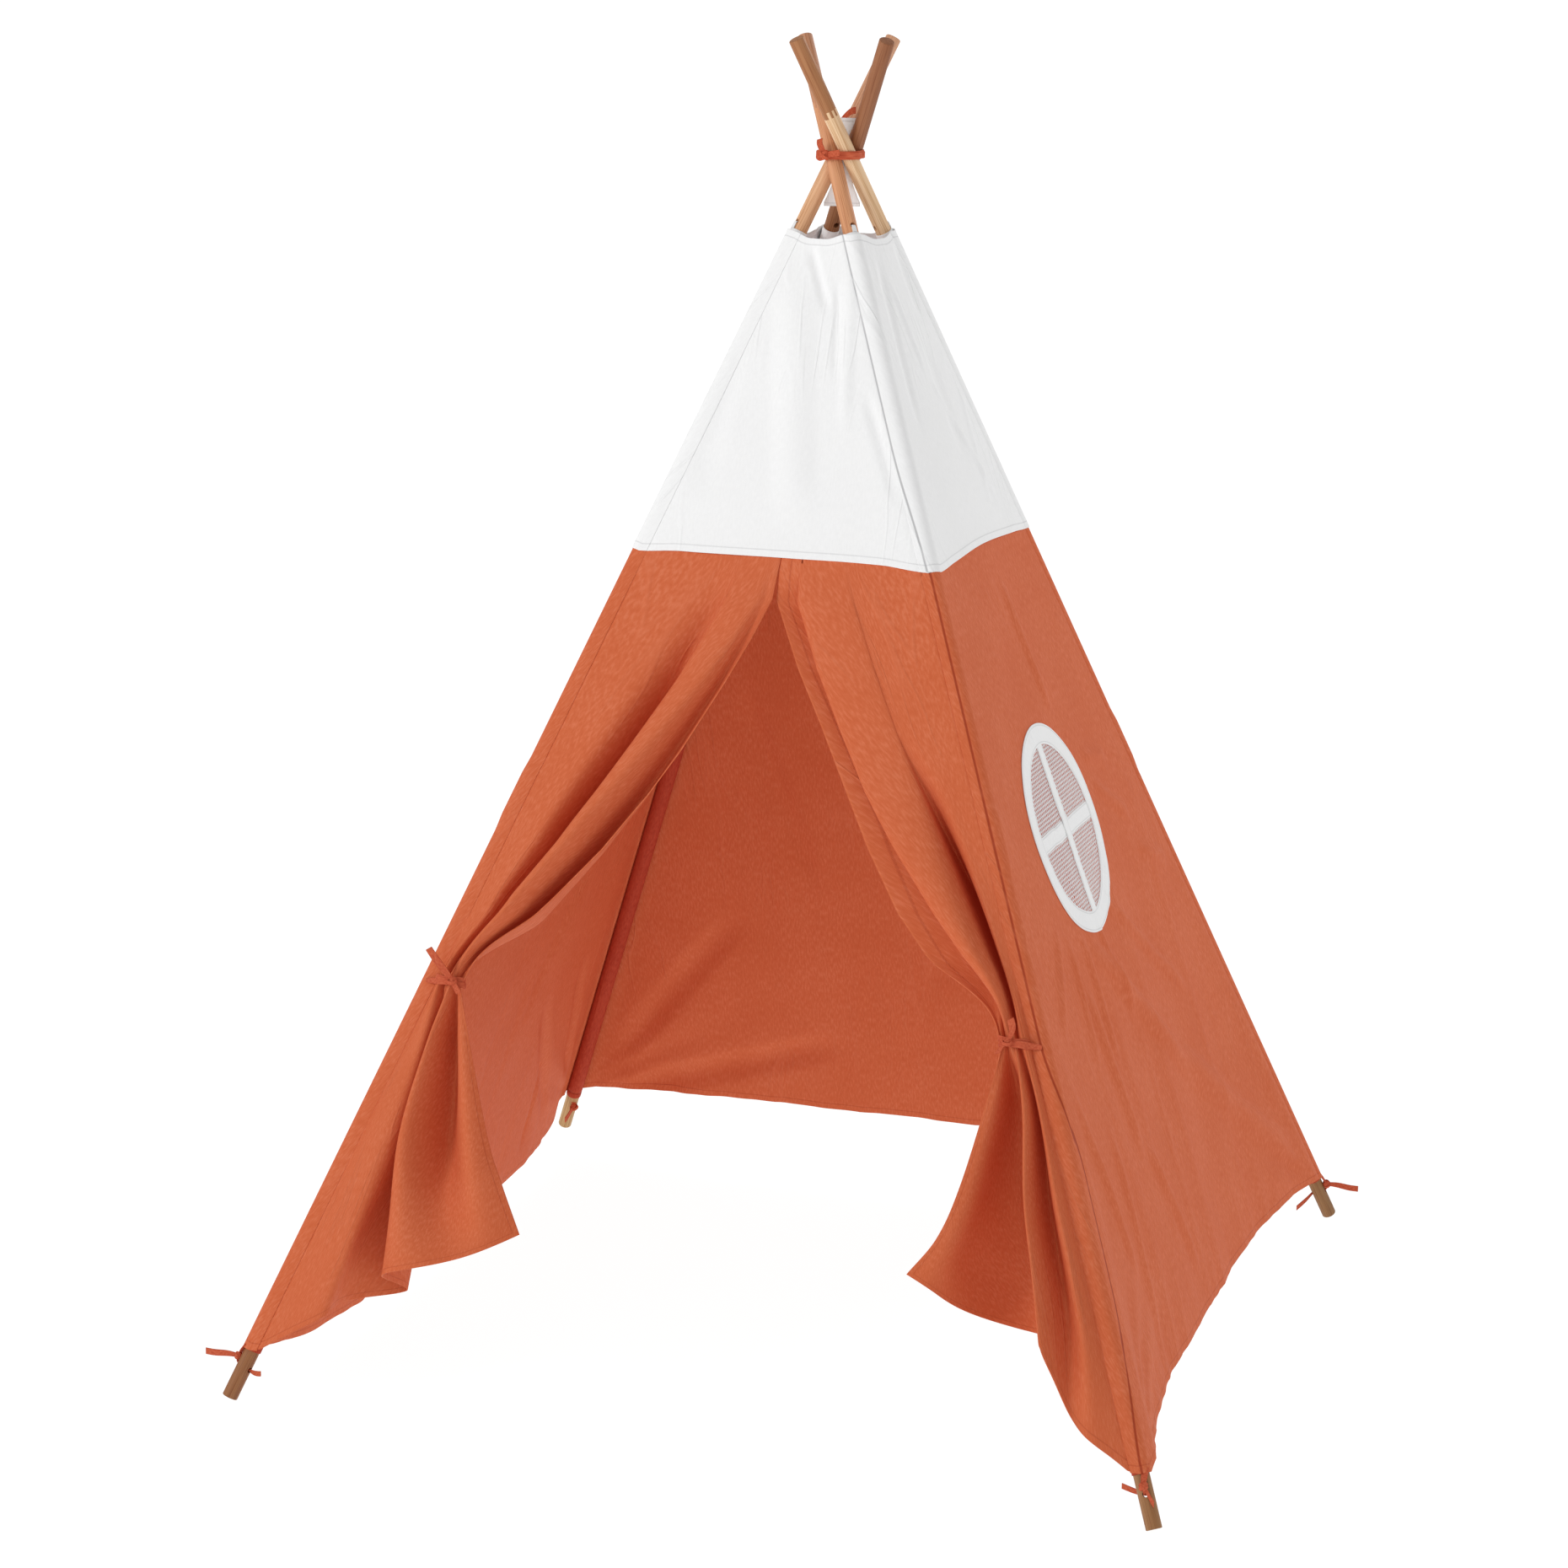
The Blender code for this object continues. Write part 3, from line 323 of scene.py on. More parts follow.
def corner_fan(corner, share, height, width):
    """The folds that spread from a foot of a wall, at a share of 0 or 1 across it."""
    reach_across = abs(share - corner) * width
    reach_up = (height - WALL_HEM) / math.cos(SLANT)
    away = math.hypot(reach_across, reach_up)
    bearing = math.atan2(reach_up, max(reach_across, 1e-6))
    fan = math.sin(bearing * FAN_FOLDS + corner * 2) * math.sin(math.pi * min(bearing / 1.3, 1.0))
    return FAN * fan * smooth(away / 0.10) * smooth(1 - away / FAN_REACH)


def unrest(face, place, share, height, width):
    """The soft unevenness of cloth that hangs from its seams: none at the poles, more in the middle."""
    past_still = min(share, 1 - share) * width - STILL
    swing = SWING * ripple(place + Vector((0, 0, 7)), SWING_SIZE) + BUMP * ripple(place, BUMP_SIZE)
    down = (CAP_HEM - height) / (CAP_HEM - WALL_HEM)
    if down <= 0:
        return swing * smooth(past_still / FREE_WALL) + crease_lift(face, place) * smooth(past_still / FREE_CAP)
    if face != "front":
        along = (share - 0.5) * width
        turn = FACES[face][2]
        scallop = SCALLOP * ripple(Vector((along / SCALLOP_SIZE, 0.5, turn)), 1.0)
        hang = HANG * ripple(Vector((along / HANG_SIZE, height * 1.5, turn)), 1.0)
        fine = ripple(Vector((along / FINE_CREASE_SIZE, height * 0.8, turn + 9)), 1.0)
        crease = FINE_CREASE * smooth(fine * 4 - 0.6)
        swing += scallop * smooth((down - 0.86) / 0.14) + (hang + crease) * smooth((down - 0.15) / 0.6)
        for corner in (0.0, 1.0):
            swing += corner_fan(corner, share, height, width)
        swing += crease_lift(face, place)
    return swing * smooth(past_still / FREE_WALL)


# %% Points of the cover
def relief(height, to_pole):
    """How far the socket under it lifts the cover beside a pole."""
    return swell(along_at(height)) * min(max(1 - to_pole / SLACK_MARGIN, 0.0), 1.0)


def face_point(face, height, share=None, from_left=None, from_right=None, lift=0.0):
    """A point of the cover, by a share of the way between two poles or a distance from one of them."""
    start, end = both_poles(face, height)
    width = (end - start).length
    if from_left is not None:
        share = from_left / width
    if from_right is not None:
        share = 1 - from_right / width
    place = lerp(start, end, share)
    out = FLAT_LIFT + relief(height, min(share, 1 - share) * width) + lift - slack(face, share, height, width)
    return place + face_normal(face) * (out + unrest(face, place, share, height, width))


def corner_point(pole, turn, height, lift=0.0):
    """A point where the cover turns round a pole, by its turn from the pole's outward side."""
    direction = pole_frame(pole).to_3x3() @ Vector((math.cos(turn), math.sin(turn), 0))
    return axis_at(pole, height) + direction * (FLAT_LIFT + swell(along_at(height)) + lift)


def front_point(x, height, depth=0.0):
    """A point at X and a height on the front of the cover, and a depth in front of its cloth."""
    start, end = both_poles("front", height)
    share = (x - start.x) / (end.x - start.x)
    out = FLAT_LIFT + relief(height, min(share, 1 - share) * (end.x - start.x)) + depth
    return lerp(start, end, share) + face_normal("front") * out


# %% [markdown]
# ## Materials
#
# Colours are written as sRGB hex, the way a colour picker shows them, and one function turns them to linear
# light. Another adds a node, sets its values and links its inputs, so that a material reads as a list.


# %% Helpers for materials
def linear(hex_colour):
    """An sRGB hex colour as linear red, green, blue and alpha."""
    parts = [int(hex_colour[i : i + 2], 16) / 255 for i in (1, 3, 5)]
    return (*[part / 12.92 if part <= 0.04045 else ((part + 0.055) / 1.055) ** 2.4 for part in parts], 1.0)


def add_node(tree, kind, settings=None, **inputs):
    """Adds a shader node. An input is named by its socket, or by its number after an underscore.

    It is a value, an output of another node, or another node, which stands for its first output."""
    made = tree.nodes.new("ShaderNode" + kind)
    for name, value in (settings or {}).items():
        setattr(made, name, value)
    for name, value in inputs.items():
        socket = made.inputs[int(name[1:]) if name[0] == "_" else name.replace("_", " ")]
        if isinstance(value, bpy.types.Node):
            value = value.outputs[0]
        if isinstance(value, bpy.types.NodeSocket):
            tree.links.new(value, socket)
        else:
            socket.default_value = value
    return made


def new_material(name, **fixed):
    """A material and its node tree. A value that is the same all over goes on the shader's own socket."""
    made = bpy.data.materials.new(name)
    made.use_nodes = True
    for socket, value in fixed.items():
        made.node_tree.nodes["Principled BSDF"].inputs[socket.replace("_", " ")].default_value = value
    return made, made.node_tree


def finished(made, colour, bump=None):
    """Links the colour and the bump of a material to its shader, and hands the material back."""
    shader = made.node_tree.nodes["Principled BSDF"]
    made.node_tree.links.new(colour, shader.inputs["Base Color"])
    if bump:
        made.node_tree.links.new(bump.outputs["Normal"], shader.inputs["Normal"])
    return made


def ramp(tree, factor, stops, hard=False):
    """A colour ramp of (place, hex colour) stops."""
    made = add_node(tree, "ValToRGB", Fac=factor)
    made.color_ramp.interpolation = "CONSTANT" if hard else "LINEAR"
    places = made.color_ramp.elements
    while len(places) < len(stops):
        places.new(1.0)
    for element, (place, colour) in zip(places, stops):
        element.position, element.color = place, linear(colour)
    return made


# %% [markdown]
# ### Cloth
#
# The cover is a plain-woven canvas of polyester and cotton, about 0.4 mm thick and dyed in the piece: matt,
# softly mottled along its threads, and creased where it lay folded, with a painted sheen that makes the creases
# paler. The threads are about 0.4 mm apart, too fine for this picture, so the weave is drawn 1.3 mm apart, and
# that of the tapes 0.9 mm. It follows the cloth's own UV map, laid out in metres, so it runs along each panel as
# it was cut.
#
# - Daylight comes through thin cotton, so the terracotta also glows a little in its shadows. A faint emission
#   in the red of the dye stands for that light. It is painted light, and lifts the shadows and the deep folds.
#   White cloth gets none.
# - The fibres have a faint shine. It is tinted warm, because a neutral one would turn terracotta pink.
# - The sewing follows two attributes of the sheet: "edge", how far a point is from the finished edge, places
#   the stitches of a hem, with a little painted shade along them, and "seam", how far it is from a corner seam,
#   sinks a groove there and darkens it with painted shade.

# %% Sewing
STITCH_INSET = 0.009  # from the finished edge
STITCH_LENGTH = 0.0030


def with_sewing(tree, cloth_map, colour, height, seam_shade):
    """Adds the corner seam and the stitches of the hems, darkened with painted shade, to the colour and the
    height of a cloth.
    """
    seam = add_node(tree, "Attribute", {"attribute_name": "seam"}).outputs["Fac"]
    off_seam = add_node(tree, "Math", {"operation": "ABSOLUTE"}, _0=seam)
    groove = add_node(
        tree, "MapRange", {"interpolation_type": "SMOOTHSTEP"},
        Value=off_seam, From_Min=0.0006, From_Max=0.0021, To_Min=1.0, To_Max=0.0,
    )
    # Painted shade: the groove is darkened towards the seam's shade colour.
    deep = add_node(tree, "Math", {"operation": "MULTIPLY"}, _0=groove, _1=0.75)
    seamed = add_node(tree, "Mix", {"data_type": "RGBA"}, Factor=deep, _6=colour, _7=linear(seam_shade))
    height = add_node(tree, "Math", {"operation": "MULTIPLY_ADD"}, _0=groove, _1=-4.0, _2=height)

    edge = add_node(tree, "Attribute", {"attribute_name": "edge"}).outputs["Fac"]
    off_line = add_node(tree, "Math", {"operation": "SUBTRACT"}, _0=edge, _1=STITCH_INSET)
    near = add_node(tree, "Math", {"operation": "ABSOLUTE"}, _0=off_line)
    line = add_node(
        tree, "MapRange", Value=near, From_Min=0.0004, From_Max=0.0011, To_Min=1.0,
        To_Max=0.0,
    )
    across = add_node(tree, "SeparateXYZ", Vector=cloth_map).outputs
    run = add_node(tree, "Math", {"operation": "ADD"}, _0=across["X"], _1=across["Y"])
    beats = 2 * math.pi / STITCH_LENGTH
    beat = add_node(tree, "Math", {"operation": "MULTIPLY"}, _0=run, _1=beats)
    wave = add_node(tree, "Math", {"operation": "SINE"}, _0=beat)
    dash = add_node(tree, "MapRange", Value=wave, From_Min=-0.5, From_Max=0.1)
    stitch = add_node(tree, "Math", {"operation": "MULTIPLY"}, _0=line, _1=dash)
    # Painted shade along the row of stitches.
    shade = add_node(tree, "Math", {"operation": "MULTIPLY"}, _0=line, _1=0.25)
    sunk = add_node(
        tree, "Mix", {"data_type": "RGBA"}, Factor=shade, _6=seamed.outputs[2], _7=linear(seam_shade)
    )
    height = add_node(tree, "Math", {"operation": "MULTIPLY_ADD"}, _0=stitch, _1=2.5, _2=height)
    return sunk.outputs[2], height


# %% Fold lines and painted sheen
CREASE_HEIGHT = 0.0010


def with_fold_lines_and_sheen(tree, cloth_map, colour, light):
    """A cloth's colour with a painted sheen, paler along its fold lines, and the bump of these lines and of fine
    crinkles.
    """
    long_way = add_node(tree, "Mapping", Vector=cloth_map, Scale=(26.0, 3.2, 1.0))
    drape = add_node(tree, "TexNoise", Vector=long_way, Scale=1.0, Detail=1.5, Distortion=0.5)
    from_crest = add_node(tree, "Math", {"operation": "SUBTRACT"}, _0=drape, _1=0.5)
    off_crest = add_node(tree, "Math", {"operation": "ABSOLUTE"}, _0=from_crest)
    line = add_node(
        tree, "MapRange", {"interpolation_type": "SMOOTHSTEP"},
        Value=off_crest, From_Min=0.0, From_Max=0.035, To_Min=1.0, To_Max=0.0,
    )
    here = add_node(tree, "TexNoise", Vector=cloth_map, Scale=4.5, Detail=1.0)
    patch = add_node(
        tree, "MapRange", {"interpolation_type": "SMOOTHSTEP"},
        Value=here, From_Min=0.46, From_Max=0.62,
    )
    pressed = add_node(tree, "Math", {"operation": "MULTIPLY"}, _0=line, _1=patch)
    crinkle = add_node(tree, "TexNoise", Vector=cloth_map, Scale=70.0, Detail=3.0, Roughness=0.65)
    creased = add_node(tree, "Math", {"operation": "MULTIPLY_ADD"}, _0=crinkle, _1=0.30, _2=pressed)
    # Painted sheen: the fold lines are coloured paler, as if they caught the light.
    painted_sheen_share = add_node(tree, "Math", {"operation": "MULTIPLY"}, _0=pressed, _1=0.30)
    colour_with_painted_sheen = add_node(tree, "Mix", {"data_type": "RGBA"}, Factor=painted_sheen_share, _6=colour, _7=linear(light))
    wrinkles = add_node(tree, "Bump", Height=creased, Strength=0.6, Distance=CREASE_HEIGHT)
    return colour_with_painted_sheen.outputs[2], wrinkles


# %% Woven cloth
BAND_WIDTH = 0.314  # of a wave texture at a scale of 1
# PAINTED_GLOW is painted light: a faint red emission that lifts the canvas's shadows and deep folds.
PAINTED_GLOW, NO_GLOW = (0.045, 0.0035, 0.0015, 1), (0, 0, 0, 1)
WARM_SHINE = (1.0, 0.66, 0.40, 1)


def woven_cloth(
    name, base, dark, light, seam_shade="#8A2E1C", glow=PAINTED_GLOW, thread=0.0013, stitched=True, shine=0.08
):
    made, tree = new_material(
        name, Roughness=0.65, Specular_IOR_Level=shine, Specular_Tint=WARM_SHINE, Emission_Color=glow,
        Emission_Strength=1.0,
    )
    cloth_map = add_node(tree, "UVMap", {"uv_map": "cloth"})
    warp, weft = [
        add_node(
            tree, "TexWave", {"bands_direction": way}, Vector=cloth_map, Scale=BAND_WIDTH / thread,
            Distortion=0.6, Detail=1.0,
        ).outputs["Fac"]
        for way in "XY"
    ]
    weave = add_node(tree, "Math", {"operation": "MULTIPLY"}, _0=warp, _1=weft)
    stretched = add_node(tree, "Mapping", Vector=cloth_map, Scale=(420.0, 110.0, 1.0))
    slub = add_node(tree, "TexNoise", Vector=stretched, Scale=1.0, Detail=3.0)
    wide = add_node(tree, "TexNoise", Vector=cloth_map, Scale=9.0, Detail=4.0, Roughness=0.6)
    mottle = add_node(tree, "Math", {"operation": "MULTIPLY_ADD"}, _0=wide, _1=0.35, _2=slub)
    tone = add_node(tree, "Math", {"operation": "MULTIPLY"}, _0=mottle, _1=0.74)
    colour = ramp(tree, tone, [(0.36, dark), (0.50, base), (0.64, light)]).outputs["Color"]
    height = add_node(tree, "Math", {"operation": "MULTIPLY_ADD"}, _0=slub, _1=0.6, _2=weave)
    if stitched:
        colour, height = with_sewing(tree, cloth_map, colour, height, seam_shade)
    colour, wrinkles = with_fold_lines_and_sheen(tree, cloth_map, colour, light)
    bump = add_node(tree, "Bump", Height=height, Strength=0.35, Distance=0.0004, Normal=wrinkles)
    return finished(made, colour, bump)


canvas = woven_cloth("terracotta_canvas", "#C96944", "#C4633E", "#D17552")
# The sleeves are the same canvas, drawn darker: painted shade, for the shade they lie in beside the poles.
sleeve_canvas_painted_shade = woven_cloth("terracotta_canvas_painted_shade", "#A84330", "#9E3A28", "#B24B35")
tape_cloth = woven_cloth(
    "terracotta_twill_tape", "#BE5C40", "#B04E36", "#C96B4C", thread=0.0009, stitched=False
)
white_canvas = woven_cloth("white_canvas", "#F6F6F6", "#F4F4F4", "#F8F8F8", "#A9A9AB", NO_GLOW, shine=0.03)
white_tape = woven_cloth(
    "white_twill_tape", "#F1F1F1", "#E6E6E7", "#F7F7F6", glow=NO_GLOW, thread=0.0009, stitched=False, shine=0.03
)
print("cloth made:", len(canvas.node_tree.nodes), "nodes in the canvas")

# %% [markdown]
# The window's net is knitted from smooth, slightly shiny polyester threads, with small uneven knots.


# %% Knitted net
def knitted_net():
    made, tree = new_material("white_polyester_net", Roughness=0.55, Sheen_Weight=0.1)
    cloth_map = add_node(tree, "UVMap", {"uv_map": "cloth"})
    knots = add_node(tree, "TexNoise", Vector=cloth_map, Scale=900.0, Detail=2.0)
    colour = ramp(tree, knots, [(0.35, "#E4E4E5"), (0.65, "#F5F5F5")]).outputs["Color"]
    return finished(made, colour, add_node(tree, "Bump", Height=knots, Strength=0.5, Distance=0.0003))


net_threads = knitted_net()

# %% [markdown]
# ### Pine
#
# The poles are turned from finger-jointed pine, sanded and left without lacquer. Short lengths of different
# boards meet in comb-like joints, so a pole changes tone along its length. Fine grain tints the board, and a
# broader patchiness lies over it. The grain is drawn 1.1 mm wide, a little coarser than the real one, to show.
# A Mapping node of the texture kind undoes the pole's own place and turn, so the grain runs along each pole.


# %% Pine for each pole
GRAIN_WIDTH = 0.0011
FINGER_WIDTH = 0.0062
FINGER_LENGTH = 0.0090
PINE_BOTTOM, PINE_TOP = -1.79, 0.18  # along the pole, from the crossing
# The height of each joint over the bottom of the pole, with the tone of the board above it.
PINE_BOARDS = {
    "front_left": (
        (0.0, "#9C6942"), (0.30, "#C99A68"), (1.20, "#B98556"), (1.62, "#EDBE96"), (1.800, "#D9A685"),
    ),
    "front_right": (
        (0.0, "#A4774D"), (0.44, "#B98A5C"), (1.10, "#C79A6A"), (1.50, "#E0A47A"), (1.86, "#CA9270"),
    ),
    "back_right": ((0.0, "#986F45"), (0.37, "#C9A06C"), (1.30, "#F2D2AC"), (1.850, "#B57F55")),
    "back_left": ((0.0, "#C7A373"), (0.52, "#BE9160"), (1.40, "#9C6B47"), (1.74, "#A06A48")),
}


def pine(pole):
    made, tree = new_material(f"sanded_pine_{pole}", Roughness=0.55, Specular_IOR_Level=0.35)
    here = add_node(tree, "TexCoord").outputs["Object"]
    place = pole_frame(pole)
    local = add_node(
        tree, "Mapping", {"vector_type": "TEXTURE"}, Vector=here, Location=place.translation,
        Rotation=place.to_euler("XYZ"),
    )
    parts = add_node(tree, "SeparateXYZ", Vector=local).outputs
    comb = add_node(tree, "Math", {"operation": "PINGPONG"}, _0=parts["X"], _1=FINGER_WIDTH / 2)
    finger = add_node(tree, "Math", {"operation": "GREATER_THAN"}, _0=comb, _1=FINGER_WIDTH / 4)
    stepped = add_node(
        tree, "Math", {"operation": "MULTIPLY_ADD"}, _0=finger, _1=FINGER_LENGTH, _2=parts["Z"]
    )
    rise = add_node(tree, "MapRange", Value=stepped, From_Min=PINE_BOTTOM, From_Max=PINE_TOP)
    length = PINE_TOP - PINE_BOTTOM
    boards = ramp(tree, rise, [(at / length, tone) for at, tone in PINE_BOARDS[pole]], hard=True)
    along = add_node(tree, "Mapping", Vector=local, Scale=(1 / GRAIN_WIDTH, 1 / GRAIN_WIDTH, 14.0))
    grain = add_node(tree, "TexNoise", Vector=along, Scale=1.0, Detail=3.0, Distortion=0.4)
    broad_lines = add_node(tree, "Mapping", Vector=local, Scale=(120.0, 120.0, 3.0))
    broad = add_node(tree, "TexNoise", Vector=broad_lines, Scale=1.0, Detail=2.0)
    tint = ramp(tree, grain, [(0.32, "#CDB49C"), (0.48, "#F8F4EF"), (0.66, "#FFFFFF")])
    patch = ramp(tree, broad, [(0.30, "#E9DCCD"), (0.60, "#FFFFFF")])
    colour = boards
    for layer in (tint, patch):
        colour = add_node(
            tree, "Mix", {"data_type": "RGBA", "blend_type": "MULTIPLY"}, Factor=1.0, _6=colour, _7=layer
        ).outputs[2]
    return finished(made, colour, add_node(tree, "Bump", Height=grain, Strength=0.25, Distance=0.0002))


pine_of = {pole: pine(pole) for pole in POLES}
print("pine made for", ", ".join(pine_of))

# %% [markdown]
# ### Socket plastic
#
# The sockets are short moulded tubes of polypropylene with a fine matt grain. They sit inside the sleeves,
# so the CAD nodes stay as they are and only take this material.


# %% Moulded polypropylene
def moulded_polypropylene():
    made, tree = new_material("moulded_polypropylene", Roughness=0.5)
    here = add_node(tree, "TexCoord").outputs["Object"]
    spark = add_node(tree, "TexNoise", Vector=here, Scale=1400.0, Detail=2.0)
    colour = ramp(tree, spark, [(0.3, "#1E1E1F"), (0.7, "#2A2A2B")]).outputs["Color"]
    return finished(made, colour, add_node(tree, "Bump", Height=spark, Strength=0.4, Distance=0.0001))


socket_plastic = moulded_polypropylene()
for pole in POLES:
    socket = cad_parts[f"socket_{pole}"]
    socket.data.materials.clear()
    socket.data.materials.append(socket_plastic)


# %% [markdown]
# ## Ways of making a piece
#
# A finished piece is a mesh whose place is in its points, with its object at the origin.
# Modifiers are applied as soon as they have done their work, so that each piece is a plain mesh at the end.
# Each piece also hides the solid that it stands for, and goes with the body that carries it.


# %% From a bmesh to a piece
def shown(name, mesh, material):
    """A mesh as an object of the scene, with its material."""
    made = bpy.data.objects.new(name, mesh)
    bpy.context.scene.collection.objects.link(made)
    mesh.materials.clear()
    mesh.materials.append(material)
    return made


def piece_from(bm, name, material):
    """A bmesh as a smooth-shaded piece."""
    for face in bm.faces:
        face.smooth = True
    mesh = bpy.data.meshes.new(name)
    bm.to_mesh(mesh)
    bm.free()
    return shown(name, mesh, material)


def sheet_area(made):
    """The area of one layer of a sheet that has two sides."""
    return sum(polygon.area for polygon in made.data.polygons) / 2


def placed(made, node, slot, body):
    """Hides the node that a piece stands for, and lets the piece ride on its body. The slot is not used."""
    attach(made, body)
    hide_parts(node)
    return made


def applied(made):
    """Bakes a piece's modifiers into its mesh."""
    bpy.context.view_layer.update()
    mesh = bpy.data.meshes.new_from_object(made.evaluated_get(bpy.context.evaluated_depsgraph_get()))
    made.modifiers.clear()
    old, made.data = made.data, mesh
    bpy.data.meshes.remove(old)
    mesh.name = made.name
    return made


def cut(made, tool):
    """Cuts a tool out of a piece, bakes the cut and throws the tool away."""
    change = made.modifiers.new("cut", "BOOLEAN")
    change.operation, change.object, change.solver = "DIFFERENCE", tool, "EXACT"
    applied(made)
    bpy.data.objects.remove(tool, do_unlink=True)
    return made


# %% [markdown]
# ### Sheets of cloth
#
# A sheet starts from Blender's grid. One function says where the point of a column and row goes, where it lies
# in the flat cloth, and how far it is from a finished edge. A Solidify modifier then gives the cloth its
# thickness, with more of it in the turned hem, where three layers lie on each other. The cloth is drawn 0.8 mm
# thick, about twice the real one. An attribute marks the two sides of a sheet, for the cuts that come later.

# %% Sheets
THIN = 0.0008
HEM_THICK = 0.0015
HEM_WIDTH = 0.010
HEM_FADE = 0.0008
FAR_FROM_EDGE = 0.05


def cloth_sheet(name, columns, rows, place, material, thin=THIN, thick=HEM_THICK, close=False, seam=None):
    """A sheet. Its place(column, row) gives a point, its place in the flat cloth and its edge distance.

    A seam(column, row) gives the distance from a seam that is sewn down the sheet. A sheet that runs round
    something is closed: its first and last column become one."""
    bm = bmesh.new()
    bmesh.ops.create_grid(bm, x_segments=columns, y_segments=rows, size=1.0)
    bm.verts.ensure_lookup_table()
    flat = bm.loops.layers.uv.new("cloth")
    edge_layer = bm.verts.layers.float.new("edge")
    seam_layer = bm.verts.layers.float.new("seam")
    laid = {}
    for row in range(rows + 1):
        for column in range(columns + 1):
            vert = bm.verts[row * (columns + 1) + column]
            vert.co, laid[vert.index], vert[edge_layer] = place(column, row)
            vert[seam_layer] = seam(column, row) if seam else FAR_FROM_EDGE
    for face in bm.faces:
        face.smooth = True
        for loop in face.loops:
            loop[flat].uv = laid[loop.vert.index]
    if close:
        bmesh.ops.remove_doubles(bm, verts=bm.verts, dist=0.000001)
    mesh = bpy.data.meshes.new(name)
    bm.to_mesh(mesh)
    bm.free()
    made = shown(name, mesh, material)

    hems = made.vertex_groups.new(name="hem")
    edges = mesh.attributes["edge"].data
    for vertex in mesh.vertices:
        past_hem = edges[vertex.index].value - HEM_WIDTH - 0.0006
        hems.add([vertex.index], smooth(-past_hem / HEM_FADE), "REPLACE")
    solid = made.modifiers.new("thickness", "SOLIDIFY")
    solid.thickness, solid.offset, solid.use_even_offset = thick, 0.0, False
    solid.vertex_group, solid.thickness_vertex_group = "hem", thin / thick
    applied(made)
    made.vertex_groups.clear()
    sides = made.data.attributes.new("side", "FLOAT", "POINT")
    for vertex in made.data.vertices:
        sides.data[vertex.index].value = float(vertex.index >= len(made.data.vertices) // 2)
    return made


def even(start, end, count):
    """Values from start to end in a number of equal steps."""
    return [lerp(start, end, step / count) for step in range(count + 1)]


# %% [markdown]
# ### Cloth between two poles
#
# The walls and the cap cross from one pole to the next, and both poles fold. A blend works across one joint,
# so each panel is split down its middle, and each half bends between the cover and its own pole. The halves
# come from one finished mesh and keep its normals, so that no line shows where they meet.
#
# The cut leaves each half open along a zigzag, because the grid's columns lean with the poles. Its edges make
# two chains, one on each side of the cloth, and a strip of faces between them closes the half.


# %% Splitting a panel
def keep_normals(mesh):
    """Writes a mesh's normals to an attribute, which stays with its points when it is cut."""
    kept = mesh.attributes.new("kept_normal", "FLOAT_VECTOR", "POINT")
    for vertex in mesh.vertices:
        kept.data[vertex.index].vector = vertex.normal


def chains_of(edges):
    """The chains of points that some edges make, each from its lower end to its upper end."""
    beside = {}
    for edge in edges:
        for vert in edge.verts:
            beside.setdefault(vert, []).append(edge)
    ends = sorted((vert for vert, near in beside.items() if len(near) == 1), key=lambda vert: vert.co.z)
    chains = []
    for start in ends[: len(ends) // 2]:
        chain, edge = [start], beside[start][0]
        while edge:
            chain.append(edge.other_vert(chain[-1]))
            edge = next((near for near in beside[chain[-1]] if near is not edge), None)
        chains.append(chain)
    return chains


def close_strip(bm, edges):
    """Closes a cut with faces between the chain of its outer side and that of its inner side."""
    chains = chains_of(edges)
    if len(chains) != 2 or len(chains[0]) != len(chains[1]):
        bmesh.ops.bridge_loops(bm, edges=edges)
        return
    outer, inner = chains
    for low, high, high_in, low_in in zip(outer, outer[1:], inner[1:], inner):
        used = bm.edges.get((low, high)).link_loops[0].vert is low
        bm.faces.new((high, low, low_in, high_in) if used else (low, high, high_in, low_in))


def half_of(made, name, keep, material):
    """The part of a sheet whose faces pass a test, closed where it was cut, with the normals of the whole."""
    bm = bmesh.new()
    bm.from_mesh(made.data)
    gone = [face for face in bm.faces if not keep(face.calc_center_median())]
    bmesh.ops.delete(bm, geom=gone, context="FACES")
    side = bm.verts.layers.float["side"]
    open_edges = [edge for edge in bm.edges if edge.is_boundary]
    along = [edge for edge in open_edges if abs(edge.verts[0][side] - edge.verts[1][side]) < 0.5]
    strips = [along]
    if made.name == "canvas_right":  # the window parts the cut in two
        above = [edge for edge in along if edge.verts[0].co.z > WINDOW_HEIGHT]
        strips = [above, [edge for edge in along if edge.verts[0].co.z <= WINDOW_HEIGHT]]
    for strip in strips:
        close_strip(bm, strip)
    mesh = bpy.data.meshes.new(name)
    bm.to_mesh(mesh)
    bm.free()
    normals = [tuple(item.vector) for item in mesh.attributes["kept_normal"].data]
    mesh.attributes.remove(mesh.attributes["kept_normal"])
    mesh.normals_split_custom_set_from_vertices(normals)
    return shown(name, mesh, material)


# %% Bending with a pole
BEND_FROM, BEND_FULL = 0.25, 0.012  # a share of the way from the middle, and a distance from the pole


def midline(face, height=WALL_HEM):
    """The middle between a face's poles at a height, the direction across it to the right, and its width."""
    start, end = both_poles(face, height)
    return (start + end) / 2, (end - start).normalized(), (end - start).length


def with_pole(face, point):
    """How far a point of a face follows its nearer pole: nothing in the middle, and fully beside the pole."""
    middle, across, width = midline(face, point.z)
    ratio = abs((point - middle).dot(across)) / max(width / 2 - BEND_FULL, 0.001)
    return smooth((min(ratio, 1.0) - BEND_FROM) / (1 - BEND_FROM))


